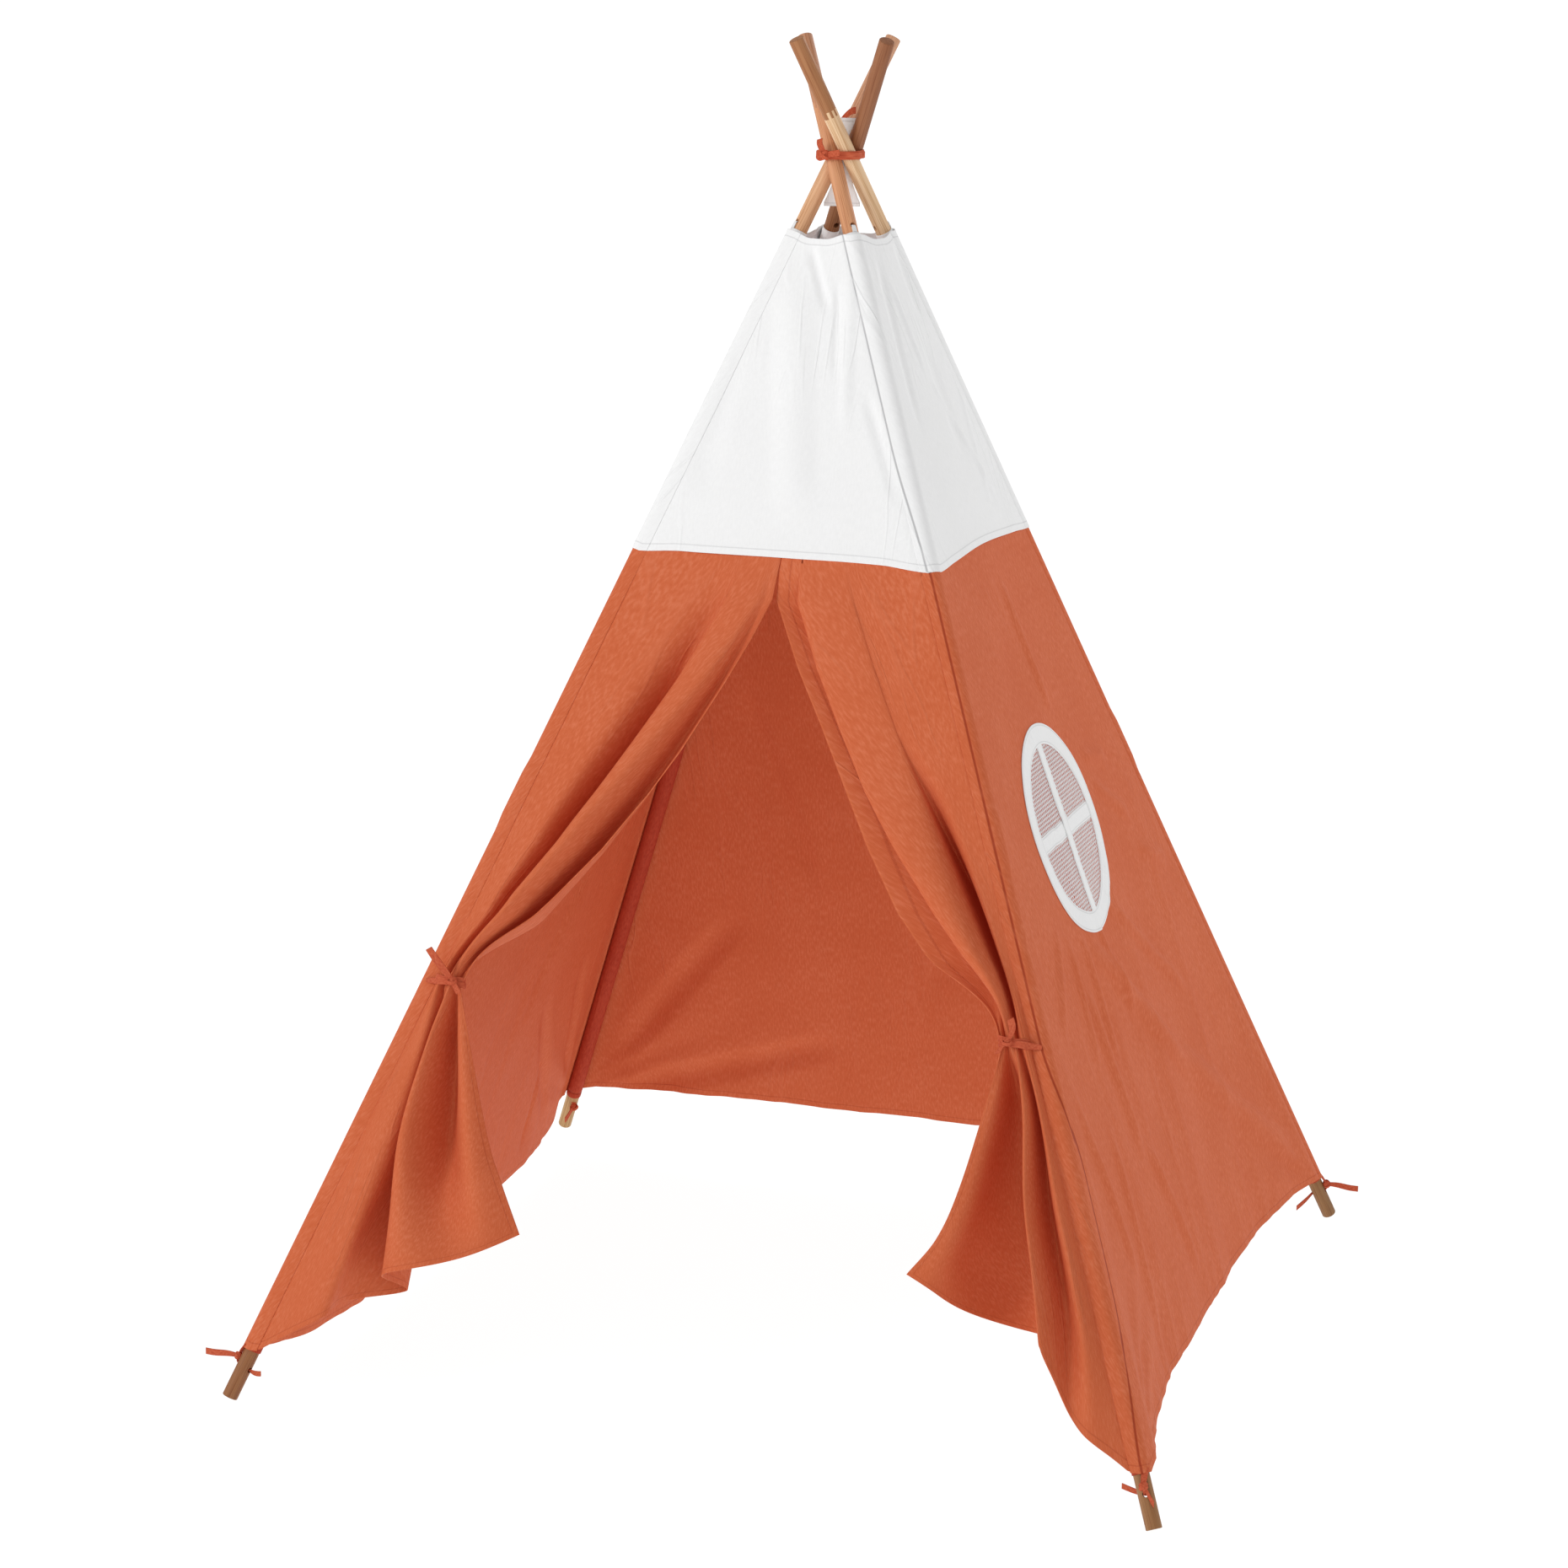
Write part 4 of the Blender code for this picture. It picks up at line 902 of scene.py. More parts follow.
def bend_with(made, pole, weight):
    """Lets a piece bend between the cover and a pole, by a weight that is worked out at each point."""
    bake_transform(made, "cover", f"pole_{pole}", start=(0, 0, 0), end=(0, 0, CROSSING_HEIGHT))
    shares = made.data.attributes["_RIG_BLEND"].data
    for vertex in made.data.vertices:
        shares[vertex.index].value = weight(vertex.co)


def panel_halves(whole, face, node, material, top, bottom):
    """Splits a finished panel down the middle of its face and gives each half to its own pole."""
    middle, across = midline(face)[:2]
    wide, narrow = midline(face, bottom)[2], midline(face, top)[2]
    keep_normals(whole.data)
    for pole, side, word in ((FACES[face][0], -1, "left"), (FACES[face][1], 1, "right")):
        name = f"{whole.name}_{word}"
        half = half_of(whole, name, lambda point: (point - middle).dot(across) * side > 0, material)
        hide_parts(node)
        bend_with(half, pole, lambda point: with_pole(face, point))
        print(name, len(half.data.vertices), "points, %.3f m2" % sheet_area(half))
    bpy.data.objects.remove(whole, do_unlink=True)


# %% [markdown]
# ## Poles
#
# Each pole is two dowels that butt inside the socket. The dowel's profile, with its rounded arris, is spun
# round the axis, as a lathe would turn it, and the hole is cut with a cylinder.

# %% Dowels
DOWEL_SIDES = 48
ARRIS = 0.0014
ARRIS_STEPS = 4
SHARP = math.radians(35)


def dowel_profile(top, bottom):
    """The line from the middle of the top end to that of the bottom end, as (radius, along) places."""
    rim = POLE_RADIUS - ARRIS
    turns = even(0, math.pi / 2, ARRIS_STEPS)
    upper = [(rim + ARRIS * math.sin(turn), top - ARRIS + ARRIS * math.cos(turn)) for turn in turns]
    shaft = [(POLE_RADIUS, lerp(top, bottom, share)) for share in (0.02, 0.1, 0.3, 0.5, 0.7, 0.9, 0.98)]
    lower = [(rim + ARRIS * math.cos(turn), bottom + ARRIS - ARRIS * math.sin(turn)) for turn in turns]
    return [(0.0, top), *upper, *shaft, *lower, (0.0, bottom)]


def dowel(name, pole, top, bottom, hole_along, hole_turn):
    """Half of a pole, turned on its own axis, drilled, and then put in its place."""
    bm = bmesh.new()
    points = [bm.verts.new((radius, 0, along)) for radius, along in dowel_profile(top, bottom)]
    edges = [bm.edges.new(pair) for pair in zip(points, points[1:])]
    bmesh.ops.spin(
        bm, geom=points + edges, cent=(0, 0, 0), axis=(0, 0, 1), angle=2 * math.pi, steps=DOWEL_SIDES,
        use_merge=True,
    )
    bmesh.ops.remove_doubles(bm, verts=bm.verts, dist=0.00001)
    bmesh.ops.recalc_face_normals(bm, faces=bm.faces)
    made = piece_from(bm, name, pine_of[pole])

    drill = bmesh.new()
    lay = Matrix.Translation((0, 0, hole_along)) @ Matrix.Rotation(hole_turn, 4, "Z")
    bmesh.ops.create_cone(
        drill, cap_ends=True, segments=32, radius1=POLE_HOLE_RADIUS, radius2=POLE_HOLE_RADIUS, depth=0.04,
        matrix=lay @ Matrix.Rotation(math.pi / 2, 4, "Y"),
    )
    cut(made, piece_from(drill, "drill", pine_of[pole]))

    bm = bmesh.new()
    bm.from_mesh(made.data)
    bmesh.ops.transform(bm, matrix=pole_frame(pole), verts=bm.verts)
    for edge in bm.edges:
        edge.smooth = len(edge.link_faces) != 2 or edge.calc_face_angle(0.0) < SHARP
    bm.to_mesh(made.data)
    bm.free()
    return made


FOOT_HOLE_TURNS = {"front_left": -59, "front_right": -35, "back_right": -37, "back_left": 173}
BUTT = 0.0010 + GAP  # half of the socket's stop
for pole in POLES:
    upper = dowel(
        f"dowel_upper_{pole}", pole, POLE_ABOVE_CROSSING, SOCKET_MIDDLE + BUTT, -TOP_HOLE_BELOW_CROSSING, 0.0
    )
    lower = dowel(
        f"dowel_lower_{pole}", pole, SOCKET_MIDDLE - BUTT, -POLE_BELOW_CROSSING,
        FOOT_HOLE_FROM_END - POLE_BELOW_CROSSING, math.radians(FOOT_HOLE_TURNS[pole]),
    )
    placed(upper, f"pole_upper_{pole}", "pine_wood", f"pole_{pole}")
    placed(lower, f"pole_lower_{pole}", "pine_wood", f"pole_{pole}")
print("poles:", len(upper.data.polygons), "and", len(lower.data.polygons), "faces in the last two dowels")

# %% [markdown]
# ## Sleeves
#
# A sleeve is a strip of canvas folded round the pole and sewn into the corner seam. It fits closely, swells a
# little over the socket, and puckers in small rings where it is pushed down the pole. Its hem is drawn as a
# thicker rim, and the sheet closes on itself round the pole.

# %% Sleeves
SLEEVE_SIDES = 40
PUCKER, PUCKERS = 0.00035, 60  # how deep, and how many in a metre
SLEEVE_HEM_STEPS = [0.010, 0.0085, 0.001, 0.0]


def sleeve(name, pole, top, bottom, material, rows):
    heights = [top, top - 0.002] + even(top, bottom, rows)[1:-1] + [bottom + step for step in SLEEVE_HEM_STEPS]
    inner = POLE_RADIUS + GAP
    place_of = pole_frame(pole)

    def place(column, row):
        turn = 2 * math.pi * column / SLEEVE_SIDES
        along = heights[row]
        ring = Vector((math.cos(turn), math.sin(turn), 0))
        pucker = PUCKER * abs(ripple(Vector((ring.x * 0.6, ring.y * 0.6, along * PUCKERS)), 1.0))
        local = ring * (inner + SLEEVE_CLOTH / 2 + swell(along) - pucker * 0.4) + Vector((0, 0, along))
        return place_of @ local, (turn * inner, along), min(along - bottom, FAR_FROM_EDGE)

    count = len(heights) - 1
    return cloth_sheet(name, SLEEVE_SIDES, count, place, material, thin=0.0006, thick=0.0010, close=True)


# Name, node, top and bottom along the pole, material, rows, slot, and what is inside it.
SLEEVES = (
    ("canvas_sleeve", "sleeve", along_at(CAP_HEM) - GAP, SLEEVE_FROM_END - POLE_BELOW_CROSSING, sleeve_canvas_painted_shade,
     150, "terracotta_cloth", "dowel_lower"),
    ("white_sleeve", "cap_sleeve", -SLEEVE_TOP_BELOW_CROSSING, along_at(CAP_HEM), white_canvas, 60,
     "white_cloth", "dowel_upper"),
)
for pole in POLES:
    for name, node, top, bottom, material, rows, slot, inside in SLEEVES:
        made = sleeve(f"{name}_{pole}", pole, top, bottom, material, rows)
        placed(made, f"{node}_{pole}", slot, f"pole_{pole}")
print("sleeves: %.3f and %.3f m long" % tuple(top - bottom for _, _, top, bottom, *_ in SLEEVES))

# %% [markdown]
# ## Walls and cap
#
# A panel runs from one corner seam to the next. The side panels turn round the front poles and end on the
# front, 11 mm past them, and the back panel turns round both back poles. The columns of its grid are places
# across the panel, close together at the corners. Beside a seam the cloth dips in, as sewn cloth does, and the
# front panels are tucked under the edge of the side panels.

# %% Columns of a panel
SEAM_DIP = 0.0016
TUCK = 0.0028
TUCK_DROP = 0.0012
SEAM_STEPS = [0.0, 0.0012, 0.0025, 0.0045]
CORNER_STEPS = 10


def dip(distance):
    """How far the cloth dips in at a distance from its seam."""
    return -SEAM_DIP * smooth(1 - distance / SEAM_STEPS[-1])


def strip(face, side, start, step_sign):
    """The columns beside a seam, at small steps away from it."""
    return [("seam", face, side, start + step_sign * step, step) for step in SEAM_STEPS]


def corner_columns(pole):
    """The columns round a pole."""
    return [("corner", pole, turn) for turn in even(-CORNER_TURN, CORNER_TURN, CORNER_STEPS)]


def panel_columns(panel, count):
    """The columns of a panel from its left seam to its right seam, as seen from outside."""
    near, far = SEAM_FROM_POLE, SEAM_FROM_POLE + GAP
    kinds = {"front": "between", "right": "share_to_seam", "left": "seam_to_share", "back": "share"}
    middle = [(kinds[panel], panel, share) for share in even(0, 1, count)][1:-1]
    if panel == "front":
        far -= TUCK
        return strip("front", "from_left", far, 1) + middle + strip("front", "from_right", far, 1)[::-1]
    if panel == "right":
        start = strip("front", "from_right", near, -1) + corner_columns("front_right")
        return start + middle + strip("right", "from_right", far, 1)[::-1]
    if panel == "left":
        end = corner_columns("front_left") + strip("front", "from_left", near, -1)[::-1]
        return strip("left", "from_left", far, 1) + middle + end
    start = strip("right", "from_right", near, -1) + corner_columns("back_right")
    return start + middle + corner_columns("back_left") + strip("left", "from_left", near, -1)[::-1]


def panel_point(column, height, lift):
    """The point of a column at a height."""
    kind, where = column[0], column[1]
    if kind == "corner":
        return corner_point(where, column[2], height, lift)
    if kind == "seam":
        sunk = 0.0 if where == "front" else dip(column[4])
        return face_point(where, height, lift=lift + sunk, **{column[2]: column[3]})
    margin = (SEAM_FROM_POLE + GAP + SEAM_STEPS[-1]) / midline(where, height)[2]
    low = margin if kind in ("between", "seam_to_share") else 0.0
    high = 1 - margin if kind in ("between", "share_to_seam") else 1.0
    return face_point(where, height, share=lerp(low, high, column[2]), lift=lift)


# %% [markdown]
# The corner seams that show are those of the front poles. On a real tent they don't run quite straight down:
# at the front right, the pull of the tie brings the seam round the corner below it, and on the cap the seam
# lies a little in front of the corner.

# %% Corner seams
SEAM_SLIP = 0.022  # how far the tie pulls the right seam round
CAP_SEAM_PLACE = -0.0100  # in front of the corner


def corner_seam(pole, height):
    """Where the corner seam shows: how far it is round the corner from the front of the cover."""
    if pole == "front_left":
        return FLAT_LIFT * 2 * CORNER_TURN
    if height > CAP_HEM:
        return lerp(FLAT_LIFT * math.radians(-5), CAP_SEAM_PLACE, smooth((height - CAP_HEM) / 0.15))
    slipped = smooth((TIE_HEIGHT - height) / 0.16) * smooth((height - 0.02) / 0.22)
    return FLAT_LIFT * math.radians(9) + slipped * SEAM_SLIP * (1 - 0.3 * smooth((0.3 - height) / 0.3))


def past_corner(column, height):
    """How far a column lies round the corner of a front pole, from where the front of the cover meets it."""
    kind, where = column[0], column[1]
    if kind == "corner":
        turn = column[2] if where == "front_right" else -column[2]
        return FLAT_LIFT * (turn + CORNER_TURN)
    if kind == "seam" and where == "front":
        return -column[3]
    pole = "front_right" if where == "right" else "front_left"
    from_pole = (panel_point(column, height, 0.0) - axis_at(pole, height)).length
    return FLAT_LIFT * 2 * CORNER_TURN + from_pole - FLAT_LIFT


def seam_distance(panel, column, height):
    """The distance of a place on a side panel from its corner seam, or a far one on the other panels."""
    if panel not in ("right", "left") or column[1] in ("back_right", "back_left"):
        return FAR_FROM_EDGE
    pole = "front_right" if panel == "right" else "front_left"
    return past_corner(column, height) - corner_seam(pole, height)


# %% Walls
CAP_HEM_LIFT = 0.010
HEM_STEPS = [0.0120, 0.0104, 0.0096, 0.0088, 0.0012, 0.0]  # rows close together in the turned hem
WALL_COLUMNS, WALL_ROWS = 150, 140


def hem_height(panel, column):
    """How high the hem of a wall is cut at a column, in an even curve between the poles."""
    start, end = both_poles(panel, WALL_HEM)
    span = end - start
    share = (panel_point(column, WALL_HEM, 0.0) - start).dot(span) / span.length_squared
    share = min(max(share, 0.0), 1.0)
    return WALL_HEM + WALL_HEM_RISE[panel] * (1 - (2 * share - 1) ** (8 if panel == "left" else 4))


def laid_flat(columns, height):
    """How far each column lies across the cloth from its middle, measured along the cloth at a height."""
    points = [panel_point(column, height, 0.0) for column in columns]
    across = [0.0]
    for before, after in zip(points, points[1:]):
        across.append(across[-1] + (after - before).length)
    return [reach - across[-1] / 2 for reach in across]


def make_wall(panel):
    columns = panel_columns(panel, WALL_COLUMNS)
    hems = [hem_height(panel, column) for column in columns]
    top = CAP_HEM + CAP_OVERLAP + CAP_HEM_LIFT
    rows = WALL_ROWS + len(HEM_STEPS) - 1
    levels = [lerp(top, WALL_HEM, min(row / WALL_ROWS, 1.0)) for row in range(rows + 1)]
    flat_rows = [laid_flat(columns, level) for level in levels]

    def place(column, row):
        hem = hems[column]
        start = hem + HEM_STEPS[0] * math.cos(SLANT)
        if row <= WALL_ROWS:
            height = lerp(top, start, row / WALL_ROWS)
        else:
            height = hem + HEM_STEPS[row - WALL_ROWS] * math.cos(SLANT)
        point = panel_point(columns[column], height, 0.0)
        from_hem = (height - hem) / math.cos(SLANT)
        return point, (flat_rows[row][column], height / math.cos(SLANT)), min(from_hem, FAR_FROM_EDGE)

    def seam(column, row):
        return seam_distance(panel, columns[column], levels[row])

    return cloth_sheet(f"canvas_{panel}", len(columns) - 1, rows, place, canvas, seam=seam)


# %% The hole for the window
def window_point(across, up, lift):
    """A point of the right wall, measured from the middle of the window across and up the cloth."""
    height = WINDOW_HEIGHT + up * math.cos(SLANT)
    start, end = both_poles("right", height)
    share = (across - WINDOW_TO_FRONT - start.y) / (end.y - start.y)
    return face_point("right", height, share=share, lift=lift)


def cut_window(wall):
    """Cuts the wall with a drum that is bent to the cloth."""
    tool = bmesh.new()
    hole = WINDOW_RADIUS - WINDOW_RING_WIDTH + WINDOW_LAP
    bmesh.ops.create_cone(tool, cap_ends=True, segments=96, radius1=hole, radius2=hole, depth=0.06)
    for vert in tool.verts:
        vert.co = window_point(vert.co.x, vert.co.y, vert.co.z)
    if tool.calc_volume(signed=True) < 0:
        bmesh.ops.reverse_faces(tool, faces=tool.faces)
    cut(wall, piece_from(tool, "window_cutter", canvas))
    for polygon in wall.data.polygons:
        polygon.use_smooth = True


for panel in ("right", "back", "left"):
    wall = make_wall(panel)
    if panel == "right":
        cut_window(wall)
    panel_halves(wall, panel, f"wall_{panel}", canvas, CAP_HEM + CAP_OVERLAP, WALL_HEM)

# %% [markdown]
# The cap is sewn the same way. Its hem waves a little over the walls and stands off them where it is free, and
# its top edge sags between the poles, which lets the inside of the cap show.

# %% Cap
CAP_COLUMNS, CAP_ROWS = 60, 56
CAP_TOP_STEPS = [0.0, 0.0010, 0.0085, 0.0095]
CAP_TOP_SAG = 0.012
CAP_HEM_STANDS_OFF = 0.0012


def from_poles(panel, point, height):
    """How far a point is from the nearer of the poles beside it."""
    return min((point - axis).length for axis in both_poles(panel, height))


def make_cap_panel(panel):
    columns = panel_columns(panel, CAP_COLUMNS)
    inner_top = CAP_TOP - CAP_TOP_STEPS[-1]
    inner_hem = CAP_HEM + HEM_STEPS[0] * math.cos(SLANT)
    heights = [CAP_TOP - step for step in CAP_TOP_STEPS] + even(inner_top, inner_hem, CAP_ROWS)[1:]
    heights += [CAP_HEM + step * math.cos(SLANT) for step in HEM_STEPS[1:]]
    flat_rows = [laid_flat(columns, height) for height in heights]

    def place(column, row):
        height = heights[row]
        from_hem = (height - CAP_HEM) / math.cos(SLANT)
        hem = panel_point(columns[column], CAP_HEM, CAP_LIFT)
        wave = 0.5 + 0.5 * ripple(hem + Vector((0, 0, 3)), 0.16)
        free = 1.0
        for axis in both_poles(panel, CAP_HEM):
            free *= smooth((hem - axis).length / 0.06)
        rim = panel_point(columns[column], CAP_TOP, CAP_LIFT)
        height += CAP_HEM_LIFT * wave * free * smooth(1 - from_hem / 0.15)
        loose = smooth(from_poles(panel, rim, CAP_TOP) / 0.034)
        height -= CAP_TOP_SAG * loose * smooth(1 - (CAP_TOP - height) / 0.07)
        lift = CAP_LIFT + CAP_HEM_STANDS_OFF * wave * free * smooth(1 - from_hem / 0.03)
        if panel == "front" and columns[column][0] == "seam":
            lift -= TUCK_DROP * smooth(1 - columns[column][4] / SEAM_STEPS[-1])
        edge = min(from_hem, (CAP_TOP - heights[row]) / math.cos(SLANT), FAR_FROM_EDGE)
        flat = (flat_rows[row][column], height / math.cos(SLANT))
        return panel_point(columns[column], height, lift), flat, edge

    def seam(column, row):
        return seam_distance(panel, columns[column], heights[row])

    return cloth_sheet(f"white_{panel}", len(columns) - 1, len(heights) - 1, place, white_canvas, seam=seam)


for panel in FACES:
    panel_halves(make_cap_panel(panel), panel, f"cap_{panel}", white_canvas, CAP_TOP, CAP_HEM)

# %% [markdown]
# ## Window
#
# A round hole in the right wall is closed by a knitted net, framed by a white ring and crossed by two bands.
# The net is drawn with hexagons: a circle of six sides for each mesh, merged, inset, and its middles deleted.
# The real net is finer, and is drawn with a pitch of 5.8 mm so that it shows and stays light.

# %% Ring and cross
RING_SEGMENTS = 128
RING_STEPS = [0.0, 0.0008, 0.0022, 0.0035, 0.0060, 0.0100, 0.0140]
BAND_REACH = WINDOW_RADIUS - WINDOW_RING_WIDTH + 0.003
BAND_STEPS = 60
BAND_PLACES = [-1.0, -0.93, -0.8, -0.7, -0.35, 0.0, 0.35, 0.7, 0.8, 0.93, 1.0]
BAND_WANDER = 0.0045  # the bands are loose tape, and waver across the net
BAND_PUFF = 0.0016


def make_ring():
    inset = RING_STEPS + [WINDOW_RING_WIDTH - step for step in RING_STEPS[-2::-1]]

    def place(column, row):
        turn = 2 * math.pi * column / RING_SEGMENTS
        radius = WINDOW_RADIUS - WINDOW_RING_WIDTH + inset[row]
        edge = min(inset[row], WINDOW_RING_WIDTH - inset[row])
        pad = CLOTH + GAP + 0.0004 * smooth(edge / 0.002) - 0.0003 * smooth(1 - abs(edge - 0.003) / 0.0012)
        point = window_point(radius * math.cos(turn), radius * math.sin(turn), pad)
        return point, (turn * WINDOW_RADIUS, radius), edge + 0.006

    rows = len(inset) - 1
    return cloth_sheet("window_surround", RING_SEGMENTS, rows, place, white_canvas, 0.0009, 0.0009, close=True)


def make_band(name, upright):
    half = WINDOW_BAR_WIDTH / 2

    def place(column, row):
        across = BAND_PLACES[column] * half
        along = lerp(-BAND_REACH, BAND_REACH, row / BAND_STEPS)
        edge = half - abs(across)
        lift = CLOTH + (0.0002 if upright else -0.0006) + 0.0003 * smooth(edge / 0.0015)
        loose = smooth(1 - abs(along) / BAND_REACH)
        wander = BAND_WANDER * loose * ripple(Vector((along / 0.045, 2.0 if upright else 6.0, 0.0)), 1.0)
        puff = abs(ripple(Vector((along / 0.022, across / 0.012, 4.0)), 1.0))
        lift += (BAND_PUFF if upright else 0.0) * loose * puff
        spot = (across + wander, along) if upright else (along, across + wander)
        return window_point(*spot, lift), (across, along), edge + 0.0065

    return cloth_sheet(name, len(BAND_PLACES) - 1, BAND_STEPS, place, white_canvas, 0.0007, 0.0007)


def with_right_wall(point):
    """Its front half bends with the front pole. The window reaches past the middle, and stays still there."""
    return with_pole("right", point) if point.y < 0 else 0.0


def ride_wall(made, node):
    """A white piece on the right wall bends with the wall under it."""
    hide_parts(node)
    bend_with(made, "front_right", with_right_wall)


ride_wall(make_ring(), "window_ring")
for name, upright in (("window_band_upright", True), ("window_band_level", False)):
    ride_wall(make_band(name, upright), "window_cross")

# %% Net
NET_PITCH = 0.0058
NET_THREAD = 0.0008
NET_DEPTH = 0.0006


def make_net():
    bm = bmesh.new()
    reach = WINDOW_RADIUS - WINDOW_RING_WIDTH + WINDOW_LAP - 2 * GAP - NET_PITCH * 0.6
    row_step = NET_PITCH * math.sqrt(3) / 2
    limit = int(reach / row_step) + 1
    for row in range(-limit, limit + 1):
        shift = NET_PITCH / 2 if row % 2 else 0.0
        for column in range(-limit - 1, limit + 2):
            x, y = column * NET_PITCH + shift, row * row_step
            if math.hypot(x, y) < reach:
                lay = Matrix.Translation((x, y, 0)) @ Matrix.Rotation(math.pi / 6, 4, "Z")
                radius = NET_PITCH / math.sqrt(3)
                bmesh.ops.create_circle(bm, cap_ends=True, segments=6, radius=radius, matrix=lay)
    bmesh.ops.remove_doubles(bm, verts=bm.verts, dist=0.0002)
    bmesh.ops.inset_individual(bm, faces=bm.faces, thickness=NET_THREAD, use_even_offset=True)
    inner = [face for face in bm.faces if len(face.verts) == 6]
    bmesh.ops.delete(bm, geom=inner, context="FACES")
    flat = bm.loops.layers.uv.new("cloth")
    for face in bm.faces:
        for loop in face.loops:
            loop[flat].uv = loop.vert.co.xy
    for vert in bm.verts:
        vert.co = window_point(vert.co.x, vert.co.y, CLOTH / 2 - 0.0004)
    bmesh.ops.recalc_face_normals(bm, faces=bm.faces)
    made = piece_from(bm, "window_mesh", net_threads)
    solid = made.modifiers.new("thickness", "SOLIDIFY")
    solid.thickness, solid.offset = NET_DEPTH, 0.0
    return applied(made)


net = make_net()
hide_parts("window_net")
bend_with(net, "front_right", with_right_wall)
print("net:", len(net.data.polygons), "faces")

# %% [markdown]
# ## Door flaps
#
# A flap is half of the tent's front: 0.19 m wide at the cap and 0.58 m at the hem. The tie draws its whole
# width into a bundle beside the pole, so above the tie the spare cloth stands in folds that run down to it,
# and below the tie it fans out again. Each height gets a section through the cloth, drawn like a pleat chart
# by a few points across, and a cubic B-spline rounds the points into soft folds. Where the cloth is drawn in,
# the spare width goes into the depth of two hidden folds, so that each section keeps the width it was cut to.

# %% The flaps above their ties
# Height, and how far the long valley, the ridge and the door's edge lie from the corner seam.
FLAP_LINES = {
    "left": (
        (1.062, 0.105, 0.160, 0.1767), (1.007, 0.108, 0.172, 0.193),
        (0.957, 0.104, 0.166, 0.190), (0.900, 0.098, 0.154, 0.183),
        (0.818, 0.085, 0.128, 0.170), (0.762, 0.074, 0.112, 0.156),
        (0.693, 0.062, 0.088, 0.131), (0.629, 0.043, 0.062, 0.098),
        (0.565, 0.031, 0.042, 0.060), (0.527, 0.020, 0.028, 0.038),
    ),
    "right": (
        (1.062, 0.085, 0.150, 0.1789), (1.007, 0.080, 0.170, 0.203),
        (0.930, 0.072, 0.166, 0.195), (0.860, 0.062, 0.154, 0.180),
        (0.790, 0.046, 0.138, 0.167), (0.726, 0.034, 0.114, 0.155),
        (0.655, 0.022, 0.080, 0.135), (0.600, 0.014, 0.048, 0.105),
        (0.560, 0.011, 0.030, 0.068), (0.527, 0.010, 0.024, 0.038),
    ),
}
# How deep the valley's fold and the edge's fold go, as a share of the spare width, and the deepest they may be.
FOLD_SHARES = {"left": (1.20, 0.66), "right": (1.30, 1.10)}
DEEPEST_FOLD = {"left": 0.10, "right": 0.155}

# %% The flaps in and below their ties
# In the tie: how far each point is from the bundle's edge, as a share of its width, and its depth.
BUNDLE_POINTS = (
    (0.00, 0.0), (0.05, 0.9), (0.14, 1.0), (0.25, -0.9), (0.36, -0.8), (0.44, 0.9), (0.58, 1.0), (0.70, 0.3),
    (0.80, -1.0), (0.93, -0.2), (1.00, 0.5),
)
